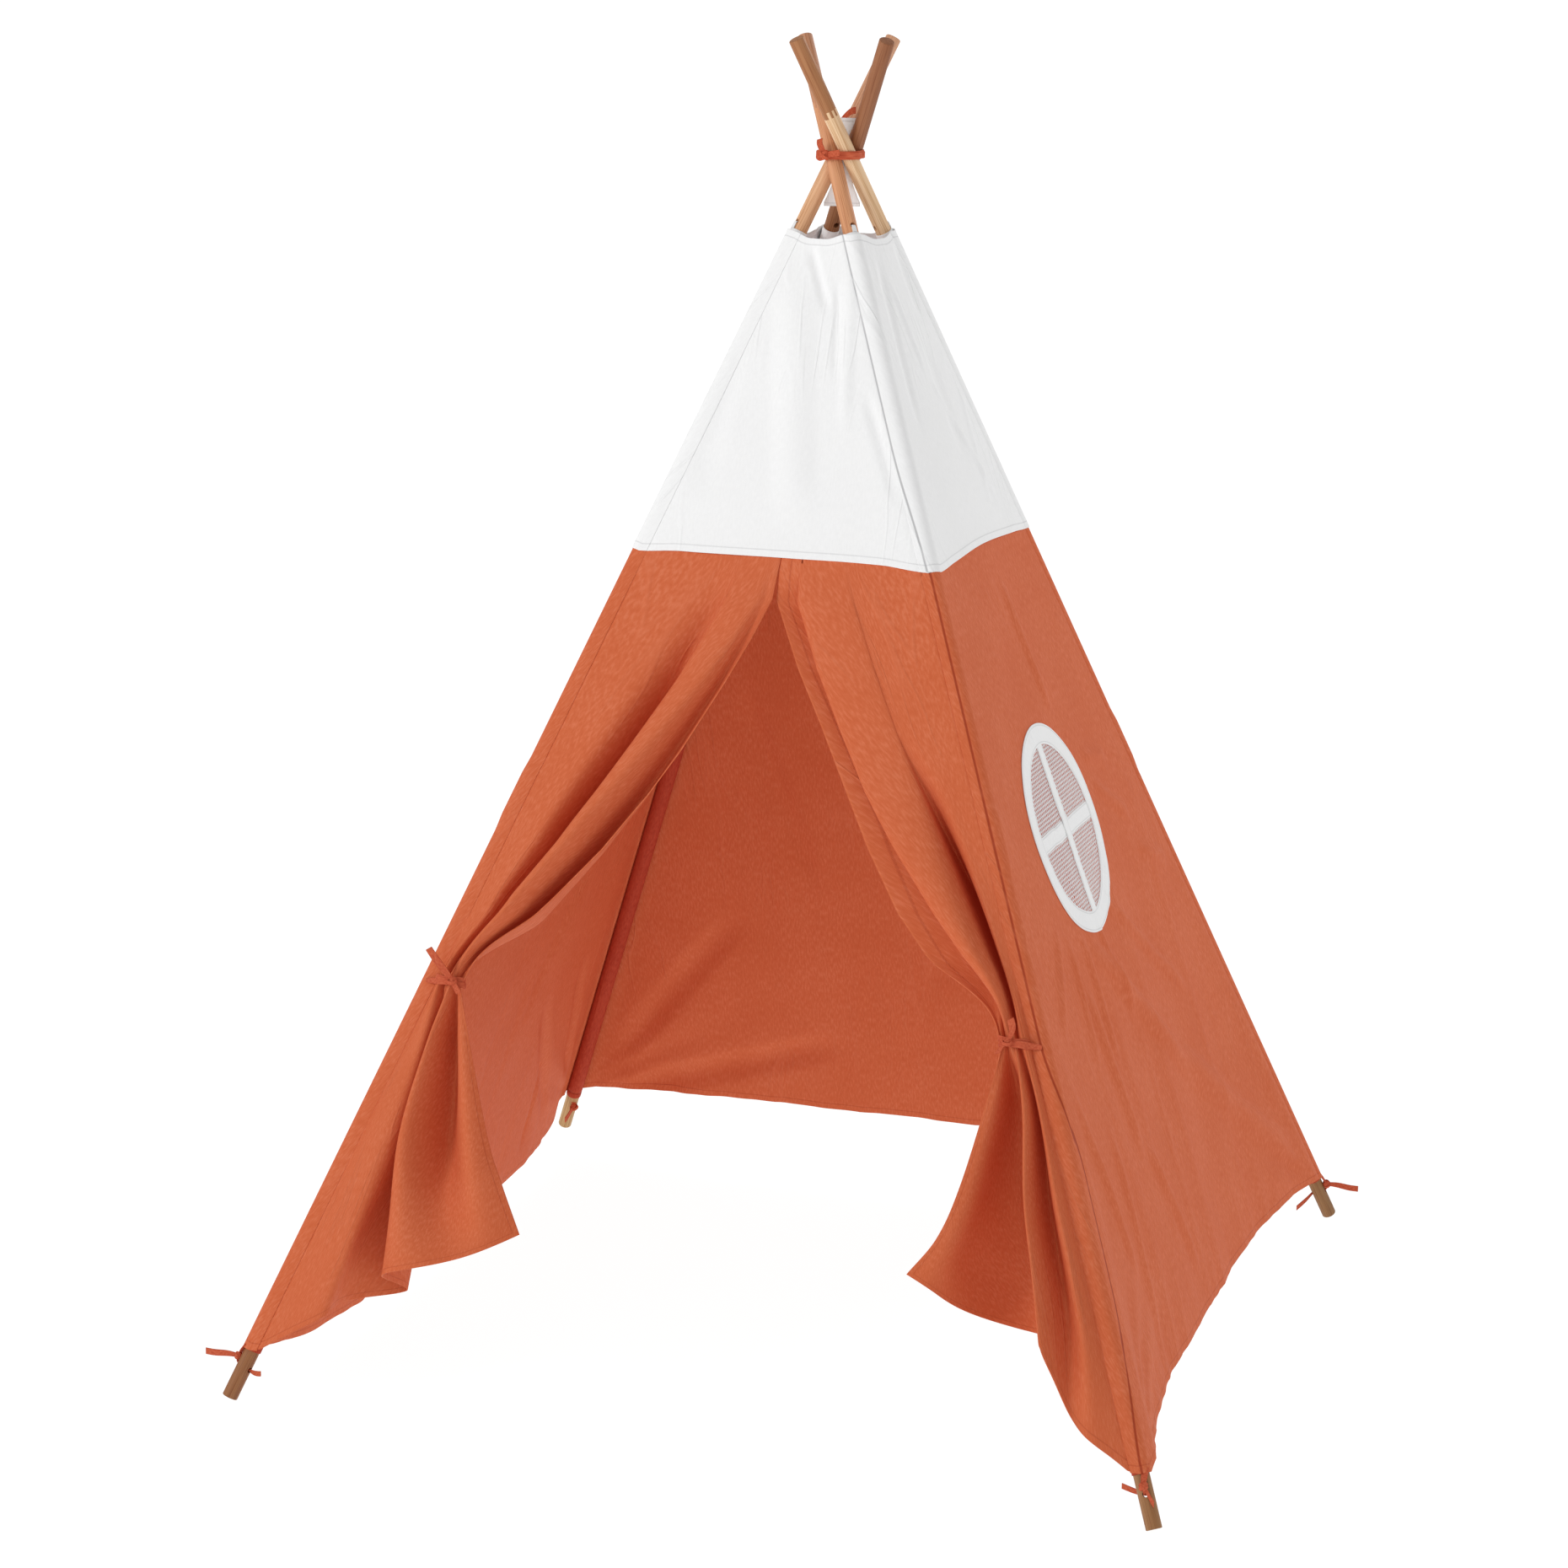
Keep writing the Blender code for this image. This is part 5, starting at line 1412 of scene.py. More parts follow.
# Below the tie, from 0 at the tie to 1 at the hem: X of each point towards its pole, its height, and its depth.
FLAP_FAN = {
    "left": (
        (0.17, (
            (0.4257, 0.450, 0.000), (0.420, 0.448, 0.006), (0.412, 0.447, 0.010), (0.402, 0.446, 0.010),
            (0.396, 0.446, -0.020), (0.388, 0.447, -0.022), (0.402, 0.448, 0.010), (0.390, 0.448, 0.018),
            (0.376, 0.449, -0.070), (0.360, 0.450, 0.016), (0.344, 0.450, 0.002),
        )),
        (0.50, (
            (0.4702, 0.335, 0.000), (0.460, 0.334, 0.008), (0.445, 0.334, 0.014), (0.422, 0.333, 0.014),
            (0.412, 0.333, -0.050), (0.385, 0.334, -0.066), (0.430, 0.335, 0.010), (0.402, 0.338, 0.034),
            (0.372, 0.340, -0.090), (0.336, 0.341, 0.034), (0.302, 0.337, 0.000),
        )),
        (0.78, (
            (0.5320, 0.175, 0.000), (0.505, 0.185, 0.008), (0.478, 0.192, 0.016), (0.452, 0.205, 0.018),
            (0.476, 0.213, -0.050), (0.395, 0.225, -0.125), (0.434, 0.232, 0.008), (0.392, 0.240, 0.040),
            (0.350, 0.250, -0.030), (0.306, 0.262, 0.034), (0.276, 0.290, 0.000),
        )),
        (1.00, (
            (0.5757, 0.062, 0.000), (0.540, 0.083, 0.006), (0.505, 0.100, 0.014), (0.474, 0.118, 0.020),
            (0.500, 0.135, -0.055), (0.398, 0.155, -0.135), (0.440, 0.166, 0.008), (0.378, 0.178, 0.044),
            (0.325, 0.194, 0.030), (0.280, 0.212, 0.026), (0.245, 0.236, 0.000),
        )),
    ),
    "right": (
        (0.17, (
            (0.4040, 0.450, 0.000), (0.401, 0.449, 0.008), (0.397, 0.448, 0.014), (0.3925, 0.447, -0.045),
            (0.388, 0.447, 0.014), (0.376, 0.447, 0.024), (0.381, 0.448, -0.030), (0.366, 0.449, -0.070),
            (0.350, 0.450, -0.050), (0.347, 0.451, 0.008), (0.333, 0.453, 0.008),
        )),
        (0.50, (
            (0.4445, 0.345, 0.000), (0.440, 0.345, 0.010), (0.430, 0.345, 0.026), (0.417, 0.345, -0.060),
            (0.404, 0.345, 0.016), (0.390, 0.345, 0.032), (0.404, 0.345, -0.026), (0.372, 0.340, -0.110),
            (0.326, 0.342, -0.065), (0.336, 0.345, 0.008), (0.311, 0.348, 0.012),
        )),
        (0.78, (
            (0.5005, 0.200, 0.000), (0.490, 0.205, 0.012), (0.476, 0.212, 0.026), (0.456, 0.222, -0.034),
            (0.432, 0.240, 0.020), (0.408, 0.262, 0.036), (0.436, 0.262, -0.040), (0.392, 0.258, -0.120),
            (0.306, 0.268, -0.072), (0.317, 0.282, 0.010), (0.290, 0.290, 0.012),
        )),
        (1.00, (
            (0.5538, 0.062, 0.000), (0.528, 0.078, 0.008), (0.500, 0.092, 0.018), (0.476, 0.112, 0.008),
            (0.452, 0.158, 0.022), (0.420, 0.204, 0.038), (0.466, 0.196, -0.050), (0.408, 0.198, -0.118),
            (0.312, 0.212, -0.066), (0.292, 0.232, 0.004), (0.258, 0.247, 0.010),
        )),
    ),
}

# %% Splines and widths
SIGNS = {"left": -1.0, "right": 1.0}


def seam_x(side, height):
    """The X of the corner seam of a flap at a height."""
    return axis_at(f"front_{side}", height).x - SIGNS[side] * (SEAM_FROM_POLE + GAP)


def flap_width(height):
    """The width of the flat flap at a height, as it was cut."""
    return (seam_x("right", height) - seam_x("left", height)) / 2


def on_spline(points, share):
    """A place on the cubic B-spline of some points, which starts and ends at the outer ones."""
    padded = [points[0] * 2 - points[1], *points, points[-1] * 2 - points[-2]]
    spans = len(points) - 1
    position = min(max(share, 0.0), 1.0) * spans
    first = min(int(position), spans - 1)
    t = position - first
    a, b, c, d = padded[first : first + 4]
    return (
        a * (1 - t) ** 3 + b * (3 * t**3 - 6 * t**2 + 4) + c * (-3 * t**3 + 3 * t**2 + 3 * t + 1) + d * t**3
    ) / 6


def between_keys(keys, height):
    """The values of a table at a height between two of its rows."""
    for upper_key, lower_key in zip(keys, keys[1:]):
        if height >= lower_key[0]:
            part = (upper_key[0] - height) / (upper_key[0] - lower_key[0])
            return [lerp(a, b, part) for a, b in zip(upper_key[1:], lower_key[1:])]
    return list(keys[-1][1:])


# %% Sections through a flap
NECK_TOP, NECK_BOTTOM = TIE_HEIGHT + TIE_NECK, TIE_HEIGHT - TIE_NECK
BUNDLE_ROOM = TAPE_THICKNESS + 2 * GAP + CLOTH / 2
# The gathered cloth in the tie, as (distance from the seam, depth) points.
BUNDLE = [
    Vector((BUNDLE_ROOM + across * BUNDLE_WIDTH, BUNDLE_FORWARD + deep * BUNDLE_DEPTH))
    for across, deep in BUNDLE_POINTS
]


def pleats(share):
    """The fine pleats that the tie presses into a flap."""
    return math.sin(share * 31 + 3 * ripple(Vector((share * 4, 2.0, 3.0)), 1.0))


def upper_section(side, height):
    """The points across a flap at a height above its tie: distance from the seam, and depth."""
    valley, ridge, edge = between_keys(FLAP_LINES[side], height)
    spare = max(flap_width(height) - edge, 0.0)
    valley_deep = min(FOLD_SHARES[side][0] * spare / 2, DEEPEST_FOLD[side]) + 0.002
    trough_deep = min(FOLD_SHARES[side][1] * spare / 2, DEEPEST_FOLD[side]) + 0.001
    crest = 0.25 * valley_deep + 0.002
    gap, rest = ridge - valley, edge - ridge
    if side == "right":
        valley_deep *= smooth((0.88 - height) / 0.26)
        fold = min(FOLD_SHARES[side][1] * spare / 2, 0.85 * gap)
        crest = 0.16 * valley_deep + 0.003
        section = [
            (0.0, 0.0), (0.5 * valley, 0.1 * crest), (0.92 * valley, 0.3 * crest),
            (valley + 0.10 * gap, -valley_deep), (valley + 0.22 * gap, -0.85 * valley_deep),
            (valley + 0.16 * gap, 0.8 * crest),
            (valley + 0.60 * gap, 1.6 * crest), (ridge + 0.25 * (0.4 * gap + fold), 0.8 * crest),
            (ridge - fold, -0.014), (ridge - 0.8 * fold, -0.024), (edge, -0.009),
        ]
    else:
        section = [
            (0.0, 0.0), (0.45 * valley, 0.2 * crest), (0.86 * valley, 0.6 * crest),
            (valley + 0.15 * gap, -valley_deep), (valley + 0.45 * gap, -0.8 * valley_deep),
            (valley + 0.30 * gap, 0.9 * crest), (ridge, 1.5 * crest), (ridge + 0.30 * rest, 0.7 * crest),
            (ridge + 0.55 * rest, -trough_deep), (edge - 0.12 * rest, -0.25 * trough_deep), (edge, 0.1 * crest),
        ]
    drawn = smooth(1 - (height - NECK_TOP) / 0.085)
    return [lerp(Vector(point), held, drawn) for point, held in zip(section, BUNDLE)]


def upper_flap(side, share, height):
    """A point of a flap above its tie, by its share of the way from the seam to the door's edge."""
    place = on_spline(upper_section(side, height), share)
    if share == 0:
        place = Vector((-TUCK, -TUCK_DROP))
    x = seam_x(side, height) - SIGNS[side] * place.x
    pressed = 0.0022 * pleats(share) * (smooth(1 - (height - NECK_TOP) / 0.12) * smooth(share * 8))
    soft = 0.0016 * ripple(Vector((share * 3, height * 6, 1.0 if side == "left" else 5.0)), 1.0)
    free = smooth((CAP_HEM - 0.002 - height) / 0.06)
    return front_point(x, height, (place.y + pressed + soft * smooth(share * 5)) * free)


def through_levels(levels, down):
    """Each point of a section at a place down the flap, on a smooth line through its levels."""
    index = max(i for i in range(len(levels) - 1) if down >= levels[i][0])
    (start, a), (end, b) = levels[index], levels[index + 1]
    before, after = levels[max(index - 1, 0)], levels[min(index + 2, len(levels) - 1)]
    span = end - start
    t = (down - start) / span
    section = []
    for number, (p, q) in enumerate(zip(a, b)):
        slope_p = (q - before[1][number]) / (end - before[0]) * span
        slope_q = (after[1][number] - p) / (after[0] - start) * span
        section.append(
            p * (2 * t**3 - 3 * t**2 + 1) + slope_p * (t**3 - 2 * t**2 + t)
            + q * (3 * t**2 - 2 * t**3) + slope_q * (t**3 - t**2)
        )
    return section


def lower_flap(side, share, down):
    """A point of a flap below its tie, by its share across and how far down it is, from 0 to 1."""
    sign = SIGNS[side]
    held = [Vector((abs(seam_x(side, NECK_BOTTOM) - sign * point.x), NECK_BOTTOM, point.y)) for point in BUNDLE]
    levels = [(0.0, held)] + [(at, [Vector(point) for point in points]) for at, points in FLAP_FAN[side]]
    place = on_spline(through_levels(levels, down), share)
    height, depth = place.y, place.z
    pressed = 0.0018 * pleats(share)
    soft = 0.0022 * ripple(Vector((share * 3, down * 3, 9.0 if side == "left" else 13.0)), 1.0)
    wave = 0.0016 * ripple(Vector((share * 9, 0.0, 4.0)), 1.0) * smooth((down - 0.7) / 0.3)
    depth += pressed * smooth(1 - down * 3.2) * smooth(share * 8)
    depth += (soft + wave) * smooth(share * 5) * smooth(down * 3)
    if share * flap_width(height) > 0.004:
        return front_point(sign * place.x, height, depth)
    gap = BUNDLE[0].x * smooth(1 - 3 * down) - TUCK
    return front_point(seam_x(side, height) - sign * gap, height, -TUCK_DROP)


# %% Flaps
FLAP_COLUMNS = 150
FLAP_UPPER_ROWS, FLAP_LOWER_ROWS = 110, 80
FLAP_HEM_STEPS = [0.0104, 0.0096, 0.0088, 0.0012, 0.0]
FLAP_LENGTH = 1.053


def make_flap(side):
    top = CAP_HEM + CAP_OVERLAP
    lower_length = FLAP_LENGTH - (top - TIE_HEIGHT) / math.cos(SLANT)
    downs = even(0, 1 - 0.012 / lower_length, FLAP_LOWER_ROWS)
    downs += [1 - step / lower_length for step in FLAP_HEM_STEPS]
    rows = FLAP_UPPER_ROWS + 1 + len(downs)

    def place(column, row):
        upper = row <= FLAP_UPPER_ROWS
        height = lerp(top, NECK_TOP, row / FLAP_UPPER_ROWS) if upper else None
        down = 0.0 if upper else downs[row - FLAP_UPPER_ROWS - 1]
        cut_height = height if upper else lerp(TIE_HEIGHT, WALL_HEM, down)
        width = flap_width(cut_height)
        if column <= FLAP_COLUMNS:
            share = column / FLAP_COLUMNS * (1 - 0.012 / width)
        else:
            share = 1 - FLAP_HEM_STEPS[column - FLAP_COLUMNS - 1] / width
        point = upper_flap(side, share, height) if upper else lower_flap(side, share, down)
        edge = min((1 - share) * width, FAR_FROM_EDGE if upper else (1 - down) * lower_length)
        return point, (share * width, -(top - cut_height) / math.cos(SLANT)), min(edge, FAR_FROM_EDGE)

    return cloth_sheet(f"canvas_flap_{side}", FLAP_COLUMNS + len(FLAP_HEM_STEPS), rows - 1, place, canvas)


def with_front_pole(point):
    """A flap hangs from the cap at its top, and goes wholly with its pole from the tie down."""
    held = smooth((1.05 - point.z) / (1.05 - TIE_HEIGHT - TIE_NECK))
    return lerp(with_pole("front", point), 1.0, held)


flap_flat = (flap_width(WALL_HEM), FLAP_LENGTH)
flat_area = (flap_width(CAP_HEM + CAP_OVERLAP) + flap_width(WALL_HEM)) / 2 * FLAP_LENGTH
for side in SIGNS:
    flap = make_flap(side)
    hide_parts(f"door_flap_{side}")
    bend_with(flap, f"front_{side}", with_front_pole)
    print(f"flap {side}: %.3f m2 as folded, %.3f m2 as cut" % (sheet_area(flap), flat_area))

# %% [markdown]
# ## Tapes
#
# All ties are one narrow twill tape: a strip of the same cloth, folded double and stitched. A tape is a sheet
# along a spline, a few points wide, with a small ridge at each folded edge.


# %% Tape along a path
TAPE_CLOTH = 0.0010
TAPE_PLACES = [-1.0, -0.86, -0.5, 0.0, 0.5, 0.86, 1.0]
TAPE_RIDGE = 0.00012
UP = Vector((0, 0, 1))


def tape(name, path, widths, sides, material=tape_cloth, thickness=TAPE_CLOTH, steps=10):
    """A tape along points, with its width and the direction of its width at each, and a soft twist between.

    One width or one direction may stand for all points."""
    points = [Vector(point) for point in path]
    if isinstance(widths, float):
        widths = [widths] * len(points)
    if not isinstance(sides, list):
        sides = [sides] * len(points)
    sides = [Vector(side).normalized() for side in sides]
    spread = [Vector((width, 0, 0)) for width in widths]
    rows = (len(path) - 1) * steps

    def place(column, row):
        share = row / rows
        side = on_spline(sides, share).normalized()
        across = on_spline(spread, share).x / 2
        ahead = on_spline(points, min(share + 0.01, 1.0)) - on_spline(points, max(share - 0.01, 0.0))
        up = ahead.cross(side).normalized()
        ridge = TAPE_RIDGE if abs(TAPE_PLACES[column]) == 0.86 else 0.0
        point = on_spline(points, share) + side * across * TAPE_PLACES[column] + up * ridge
        return point, (TAPE_PLACES[column] * across, share * 0.1), FAR_FROM_EDGE

    return cloth_sheet(name, len(TAPE_PLACES) - 1, rows, place, material, thickness, thickness)


def joined(name, parts):
    """Several meshes of tape as one piece."""
    bm = bmesh.new()
    for part in parts:
        bm.from_mesh(part.data)
        bpy.data.objects.remove(part, do_unlink=True)
    return piece_from(bm, name, tape_cloth)


# %% [markdown]
# A knot is a small core, a squashed ball with two soft bumps in its surface, and two loops of tape that cross
# round it. That is enough at this size, where the real knot shows as a lump with a strand over it.


# %% Knots
KNOT_LOOP_WIDTH, KNOT_LOOP_CLOTH, KNOT_LOOP_STEPS = 0.0045, 0.0009, 12


def knot(name, centre, half, turn, seed=0.0):
    """A drawn-up knot, half as long, deep and high as stated, in a turned frame."""
    bm = bmesh.new()
    bmesh.ops.create_uvsphere(bm, u_segments=24, v_segments=16, radius=1.0)
    flat = bm.loops.layers.uv.new("cloth")
    for vert in bm.verts:
        spot = vert.co.copy()
        band = math.sin(spot.z * 5 + spot.y * 3 + seed) * 0.12 + 0.12 * ripple(spot + Vector((seed, 0, 0)), 0.8)
        vert.co = Vector((spot.x * half[0], spot.y * half[1], spot.z * half[2])) * (0.92 + band)
    for face in bm.faces:
        for loop in face.loops:
            loop[flat].uv = loop.vert.co.yz
    bmesh.ops.transform(bm, matrix=Matrix.Translation(centre) @ turn.to_4x4(), verts=bm.verts)
    parts = [piece_from(bm, name + "_core", tape_cloth)]
    for number, lean in enumerate((0.75, -0.6)):
        axis = Matrix.Rotation(lean, 3, "X") @ UP
        first = Vector((1, 0, 0))
        second = axis.cross(first)
        grow = 1.06 + 0.10 * number
        ring = []
        for step in range(KNOT_LOOP_STEPS + 1):
            angle = 2 * math.pi * step / KNOT_LOOP_STEPS
            spot = first * math.cos(angle) + second * math.sin(angle)
            local = [spot[i] * half[i] * grow for i in range(3)]
            ring.append(centre + turn @ Vector(local))
        way = turn @ axis
        parts.append(tape(f"{name}_loop{number}", ring, KNOT_LOOP_WIDTH, way, thickness=KNOT_LOOP_CLOTH, steps=4))
    return parts


# %% [markdown]
# ## Tie-backs
#
# The tape goes twice round the bundle, once level and once leaning, and is knotted in front, with its ends left
# free. A strand of it runs on to the corner seam, where it is sewn in, so the bundle can't slide down.

# %% Tie-backs
TIE_BANDS = ((0.05, 0.0, 1.15), (-0.22, 0.0013, 0.85))  # how each leans, how far out it lies, and its width
TIE_BAND_STEPS = 24
TIE_TAILS = {
    "left": [(0.0, 0.0, 0.0), (-0.008, -0.006, 0.014), (-0.018, -0.009, 0.028), (-0.028, -0.009, 0.042)],
    "right": [(0.0, 0.0, 0.0), (0.004, -0.005, 0.006), (0.009, -0.006, 0.018), (0.004, -0.004, 0.030)],
}
TIE_KNOT = (0.0055, 0.0038, 0.0058)
TIE_SEEDS = {"left": 2.0, "right": 4.0}


def tie_band(number, centre, half_width, half_depth, normal, upward):
    """One turn of the tape round the bundle, on a rounded oblong."""
    lean, push, wide = TIE_BANDS[number]
    path = []
    for step in range(TIE_BAND_STEPS + 1):
        turn = 2 * math.pi * step / TIE_BAND_STEPS
        across, deep = [math.copysign(abs(value) ** 0.75, value) for value in (math.cos(turn), math.sin(turn))]
        out = Vector((1, 0, 0)) * across * (half_width + push) + normal * deep * (half_depth + push)
        path.append(centre + out + upward * lean * out.x)
    return tape(f"tie_loop{number}", path, TAPE_WIDTH * wide, upward, thickness=0.0009, steps=3)


def make_tieback(side):
    sign = SIGNS[side]
    seam = seam_x(side, TIE_HEIGHT)
    middle = seam - sign * (BUNDLE[0].x + BUNDLE_WIDTH / 2)
    half_width = BUNDLE_WIDTH / 2 + CLOTH + GAP
    half_depth = BUNDLE_DEPTH + CLOTH + 3 * GAP
    normal = face_normal("front")
    upward = Vector((1, 0, 0)).cross(normal)
    if upward.z < 0:
        upward.negate()
    centre = front_point(middle, TIE_HEIGHT, BUNDLE_FORWARD)
    parts = [tie_band(number, centre, half_width, half_depth, normal, upward) for number in (0, 1)]

    end = axis_at(f"front_{side}", TIE_HEIGHT).x + sign * 0.004
    across = [middle - sign * 0.010, middle + sign * 0.012, seam, lerp(seam, end, 0.5), end]
    fronts = [half_depth + 0.0062, half_depth + 0.0058, 0.0080, 0.0036, 0.0022]
    strand = [front_point(x, TIE_HEIGHT - 0.0015, fore) for x, fore in zip(across, fronts)]
    parts.append(tape("tie_anchor", strand, [0.008, 0.009, 0.0085, 0.007, 0.005], upward))

    knot_place = centre + Vector((-sign * 0.006, 0, 0)) + normal * (half_depth + 0.004)
    turn = Matrix((Vector((1, 0, 0)), normal, upward)).transposed()
    parts += knot("tie_knot", knot_place, TIE_KNOT, turn, seed=TIE_SEEDS[side])
    tail = [knot_place + Vector(step) for step in TIE_TAILS[side]]
    parts.append(tape("tie_tail", tail, [0.007, 0.0095, 0.0095, 0.009], (0.84, 0.1, 0.54)))
    short_steps = ((0, 0, 0), (-sign * 0.006, -0.004, -0.006), (-sign * 0.011, -0.004, -0.015))
    short = [knot_place + Vector(step) for step in short_steps]
    parts.append(tape("tie_short", short, [0.005, 0.0075, 0.007], (0.9, 0.1, 0.3)))
    return joined(f"tape_tieback_{side}", parts)


for side in SIGNS:
    placed(make_tieback(side), f"tieback_{side}", "terracotta_tape", f"pole_front_{side}")

# %% [markdown]
# ## Foot tapes
#
# At each foot a tape sewn to the cover's corner is knotted through the pole's hole, which keeps the cover
# pulled down. One tail runs through the hole, the other lies beside the knot.

# %% Foot tapes
# The steps to the ends of the front tail and the back tail. None stands for the farthest reach to the side.
FOOT_TAILS = {
    "front_left": ((None, 0.004, -0.001), (0.016, -0.006, 0.001)),
    "front_right": ((0.014, -0.002, -0.020), (-0.032, 0.010, 0.002)),
    "back_right": ((None, -0.010, 0.001), (-0.016, -0.030, -0.014)),
    "back_left": ((-0.004, -0.030, -0.012), (-0.002, 0.004, 0.000)),
}
FOOT_KNOT = (0.0046, 0.0056, 0.0048)
FOOT_KNOT_OUT = 0.0045
CURL = Vector((0, 0, 0.003))


def tail_end(start, step, side):
    """Where a tail ends that starts at a point and lies on the left (-1) or the right (1) of the tent."""
    if step[0] is None:
        return Vector((side * (FOOT_SPACING / 2 + TAPE_REACH), start.y + step[1], start.z + step[2]))
    return start + Vector(step)


def make_foot_tape(pole):
    place = pole_frame(pole)
    turn = math.radians(FOOT_HOLE_TURNS[pole])
    mouth = place.to_3x3() @ Vector((math.cos(turn), math.sin(turn), 0))
    up = place.to_3x3() @ UP
    across = mouth.cross(up).normalized()
    hole = place @ Vector((0, 0, FOOT_HOLE_FROM_END - POLE_BELOW_CROSSING))
    knot_middle = place @ Vector((0, 0, KNOT_FROM_END - POLE_BELOW_CROSSING))
    centre = knot_middle + mouth * (POLE_RADIUS + GAP + FOOT_KNOT_OUT)
    behind = hole - mouth * (POLE_RADIUS + 0.002)
    side = math.copysign(1.0, outward(pole).x)
    front_end = tail_end(centre, FOOT_TAILS[pole][0], side)
    back_end = tail_end(behind, FOOT_TAILS[pole][1], side)

    frame_turn = Matrix((mouth, across, up)).transposed()
    parts = knot(f"foot_knot_{pole}", centre, FOOT_KNOT, frame_turn, seed=POLES[pole] / 50)
    front_middles = [lerp(centre, front_end, 0.35) + CURL * 0.5, lerp(centre, front_end, 0.7) - CURL * 0.3]
    strap_end = corner_point(pole, 0.0, WALL_HEM + 0.004, lift=-CLOTH)
    runs = (
        ("foot_front", [centre, *front_middles, front_end], [0.005, 0.008, 0.0085, 0.0085], UP),
        ("foot_through",
         [centre - up * 0.003, hole + mouth * (POLE_RADIUS + 0.0015), hole, hole - mouth * POLE_RADIUS, behind],
         0.0045, across),
        ("foot_back", [behind + mouth * 0.001, lerp(behind, back_end, 0.4) - CURL * 0.6, back_end],
         [0.0045, 0.007, 0.007], UP),
        ("foot_strap", [strap_end, lerp(strap_end, centre, 0.5) + mouth * 0.001, centre + up * 0.002],
         [0.009, 0.0085, 0.006], across),
    )
    parts += [tape(*run) for run in runs]
    return joined(f"tape_foot_{pole}", parts)


for pole in POLES:
    placed(make_foot_tape(pole), f"foot_tape_{pole}", "terracotta_tape", f"pole_{pole}")

# %% [markdown]
# ## Top loops
#
# A narrow white tape runs from the top of each cap corner into the pole's upper hole and holds the cap up.


# %% Top loops
def make_top_tape(pole):
    place = pole_frame(pole)
    over = POLE_RADIUS + GAP + TAPE_THICKNESS / 2
    hole = -TOP_HOLE_BELOW_CROSSING
    start = -SLEEVE_TOP_BELOW_CROSSING + GAP
    path = [
        (over, 0, start), (over, 0, lerp(start, hole, 0.35)), (over, 0, lerp(start, hole, 0.7)),
        (over - 0.0002, 0, hole - 0.0010), (POLE_RADIUS - 0.0010, 0, hole + 0.0004),
        (POLE_RADIUS - 0.0060, 0, hole + 0.0004),
    ]
    path = [place @ Vector(point) for point in path]
    widths = [0.0065, 0.006, 0.0055, 0.0045, 0.0045, 0.0045]
    return tape(f"white_loop_{pole}", path, widths, place.to_3x3() @ Vector((0, 1, 0)), white_tape)


for pole in POLES:
    placed(make_top_tape(pole), f"top_tape_{pole}", "white_tape", f"pole_{pole}")

# %% [markdown]
# ## Lashing
#
# The same terracotta tape binds the poles where they cross. It goes round the four poles twice, tightly, so
# its path is the rounded square that a string drawn round them would take. The knot is at the front, and one
# loop of the tape hangs loose at the left.

# %% Lashing
LASHING_TURNS = ((0.030, 0.0, 0.0007, 1.0), (-0.045, 0.0007, 0.0019, 0.72))  # lean, rise, push, width
LASHING_STEPS = 48


def hull_radius(turn):
    """How far a string drawn round the poles lies from the centre line, in a direction."""
    corner = SIDESTEP / math.sqrt(2)
    reach = max(x * math.cos(turn) + y * math.sin(turn) for x in (-corner, corner) for y in (-corner, corner))
    return reach + POLE_RADIUS / math.cos(TILT) * 0.98 + LASHING_WIDTH / 2 * math.tan(TILT) * 0.25


parts = []
for number, (lean, rise, push, wide) in enumerate(LASHING_TURNS):
    path = []
    for step in range(LASHING_STEPS + 1):
        turn = 2 * math.pi * step / LASHING_STEPS
        out = Vector((math.cos(turn), math.sin(turn), 0))
        climb = rise + lean * out.dot(Vector((20, 8, 0))) * 0.001
        path.append(out * (hull_radius(turn) + push) + Vector((0, 0, CROSSING_HEIGHT + climb)))
    parts.append(tape(f"lashing{number}", path, LASHING_WIDTH * wide, UP, steps=3))
placed(joined("tape_lashing", parts), "lashing_tape", "terracotta_tape", "cover")

# %% The knot of the lashing, and its loose loop
LASHING_KNOT = (0.0042, 0.0075, 0.0068)
# The ends and the bight of the knot: steps from its middle, and the direction of the tape's width.
LASHING_ENDS = (
    ("lashing_end_a", [(0, 0, 0), (-0.003, -0.002, 0.008), (-0.006, -0.003, 0.014), (-0.006, -0.001, 0.020)],
     (0.9, 0, 0.3)),
    ("lashing_end_b", [(0, 0, 0), (0.008, -0.004, 0.001), (0.016, -0.006, 0.003), (0.022, -0.006, 0.004)],
     (0, 0, 1)),
    ("lashing_bight",
     [(0, 0, 0), (-0.008, -0.001, 0.004), (-0.012, 0.000, 0.000), (-0.006, -0.001, -0.005), (0, 0, -0.002)],
     (0, 0, 1)),
)
LOOSE_LOOP = [
    (-0.0261, 0.006, 0.0098), (-0.019, 0.013, 0.020), (-0.013, 0.011, 0.031), (-0.005, 0.008, 0.042),
    (0.003, 0.004, 0.050), (0.010, 0.001, 0.055), (0.016, -0.001, 0.056),
]
crossing = Vector((0, 0, CROSSING_HEIGHT))
knot_out = Vector((math.cos(LASHING_KNOT_TURN), math.sin(LASHING_KNOT_TURN), 0))
knot_centre = knot_out * (0.0262 + 0.0062) + crossing
knot_turn = Matrix((knot_out, UP.cross(knot_out), UP)).transposed()
parts = knot("lashing_core", knot_centre, LASHING_KNOT, knot_turn, seed=1.5)
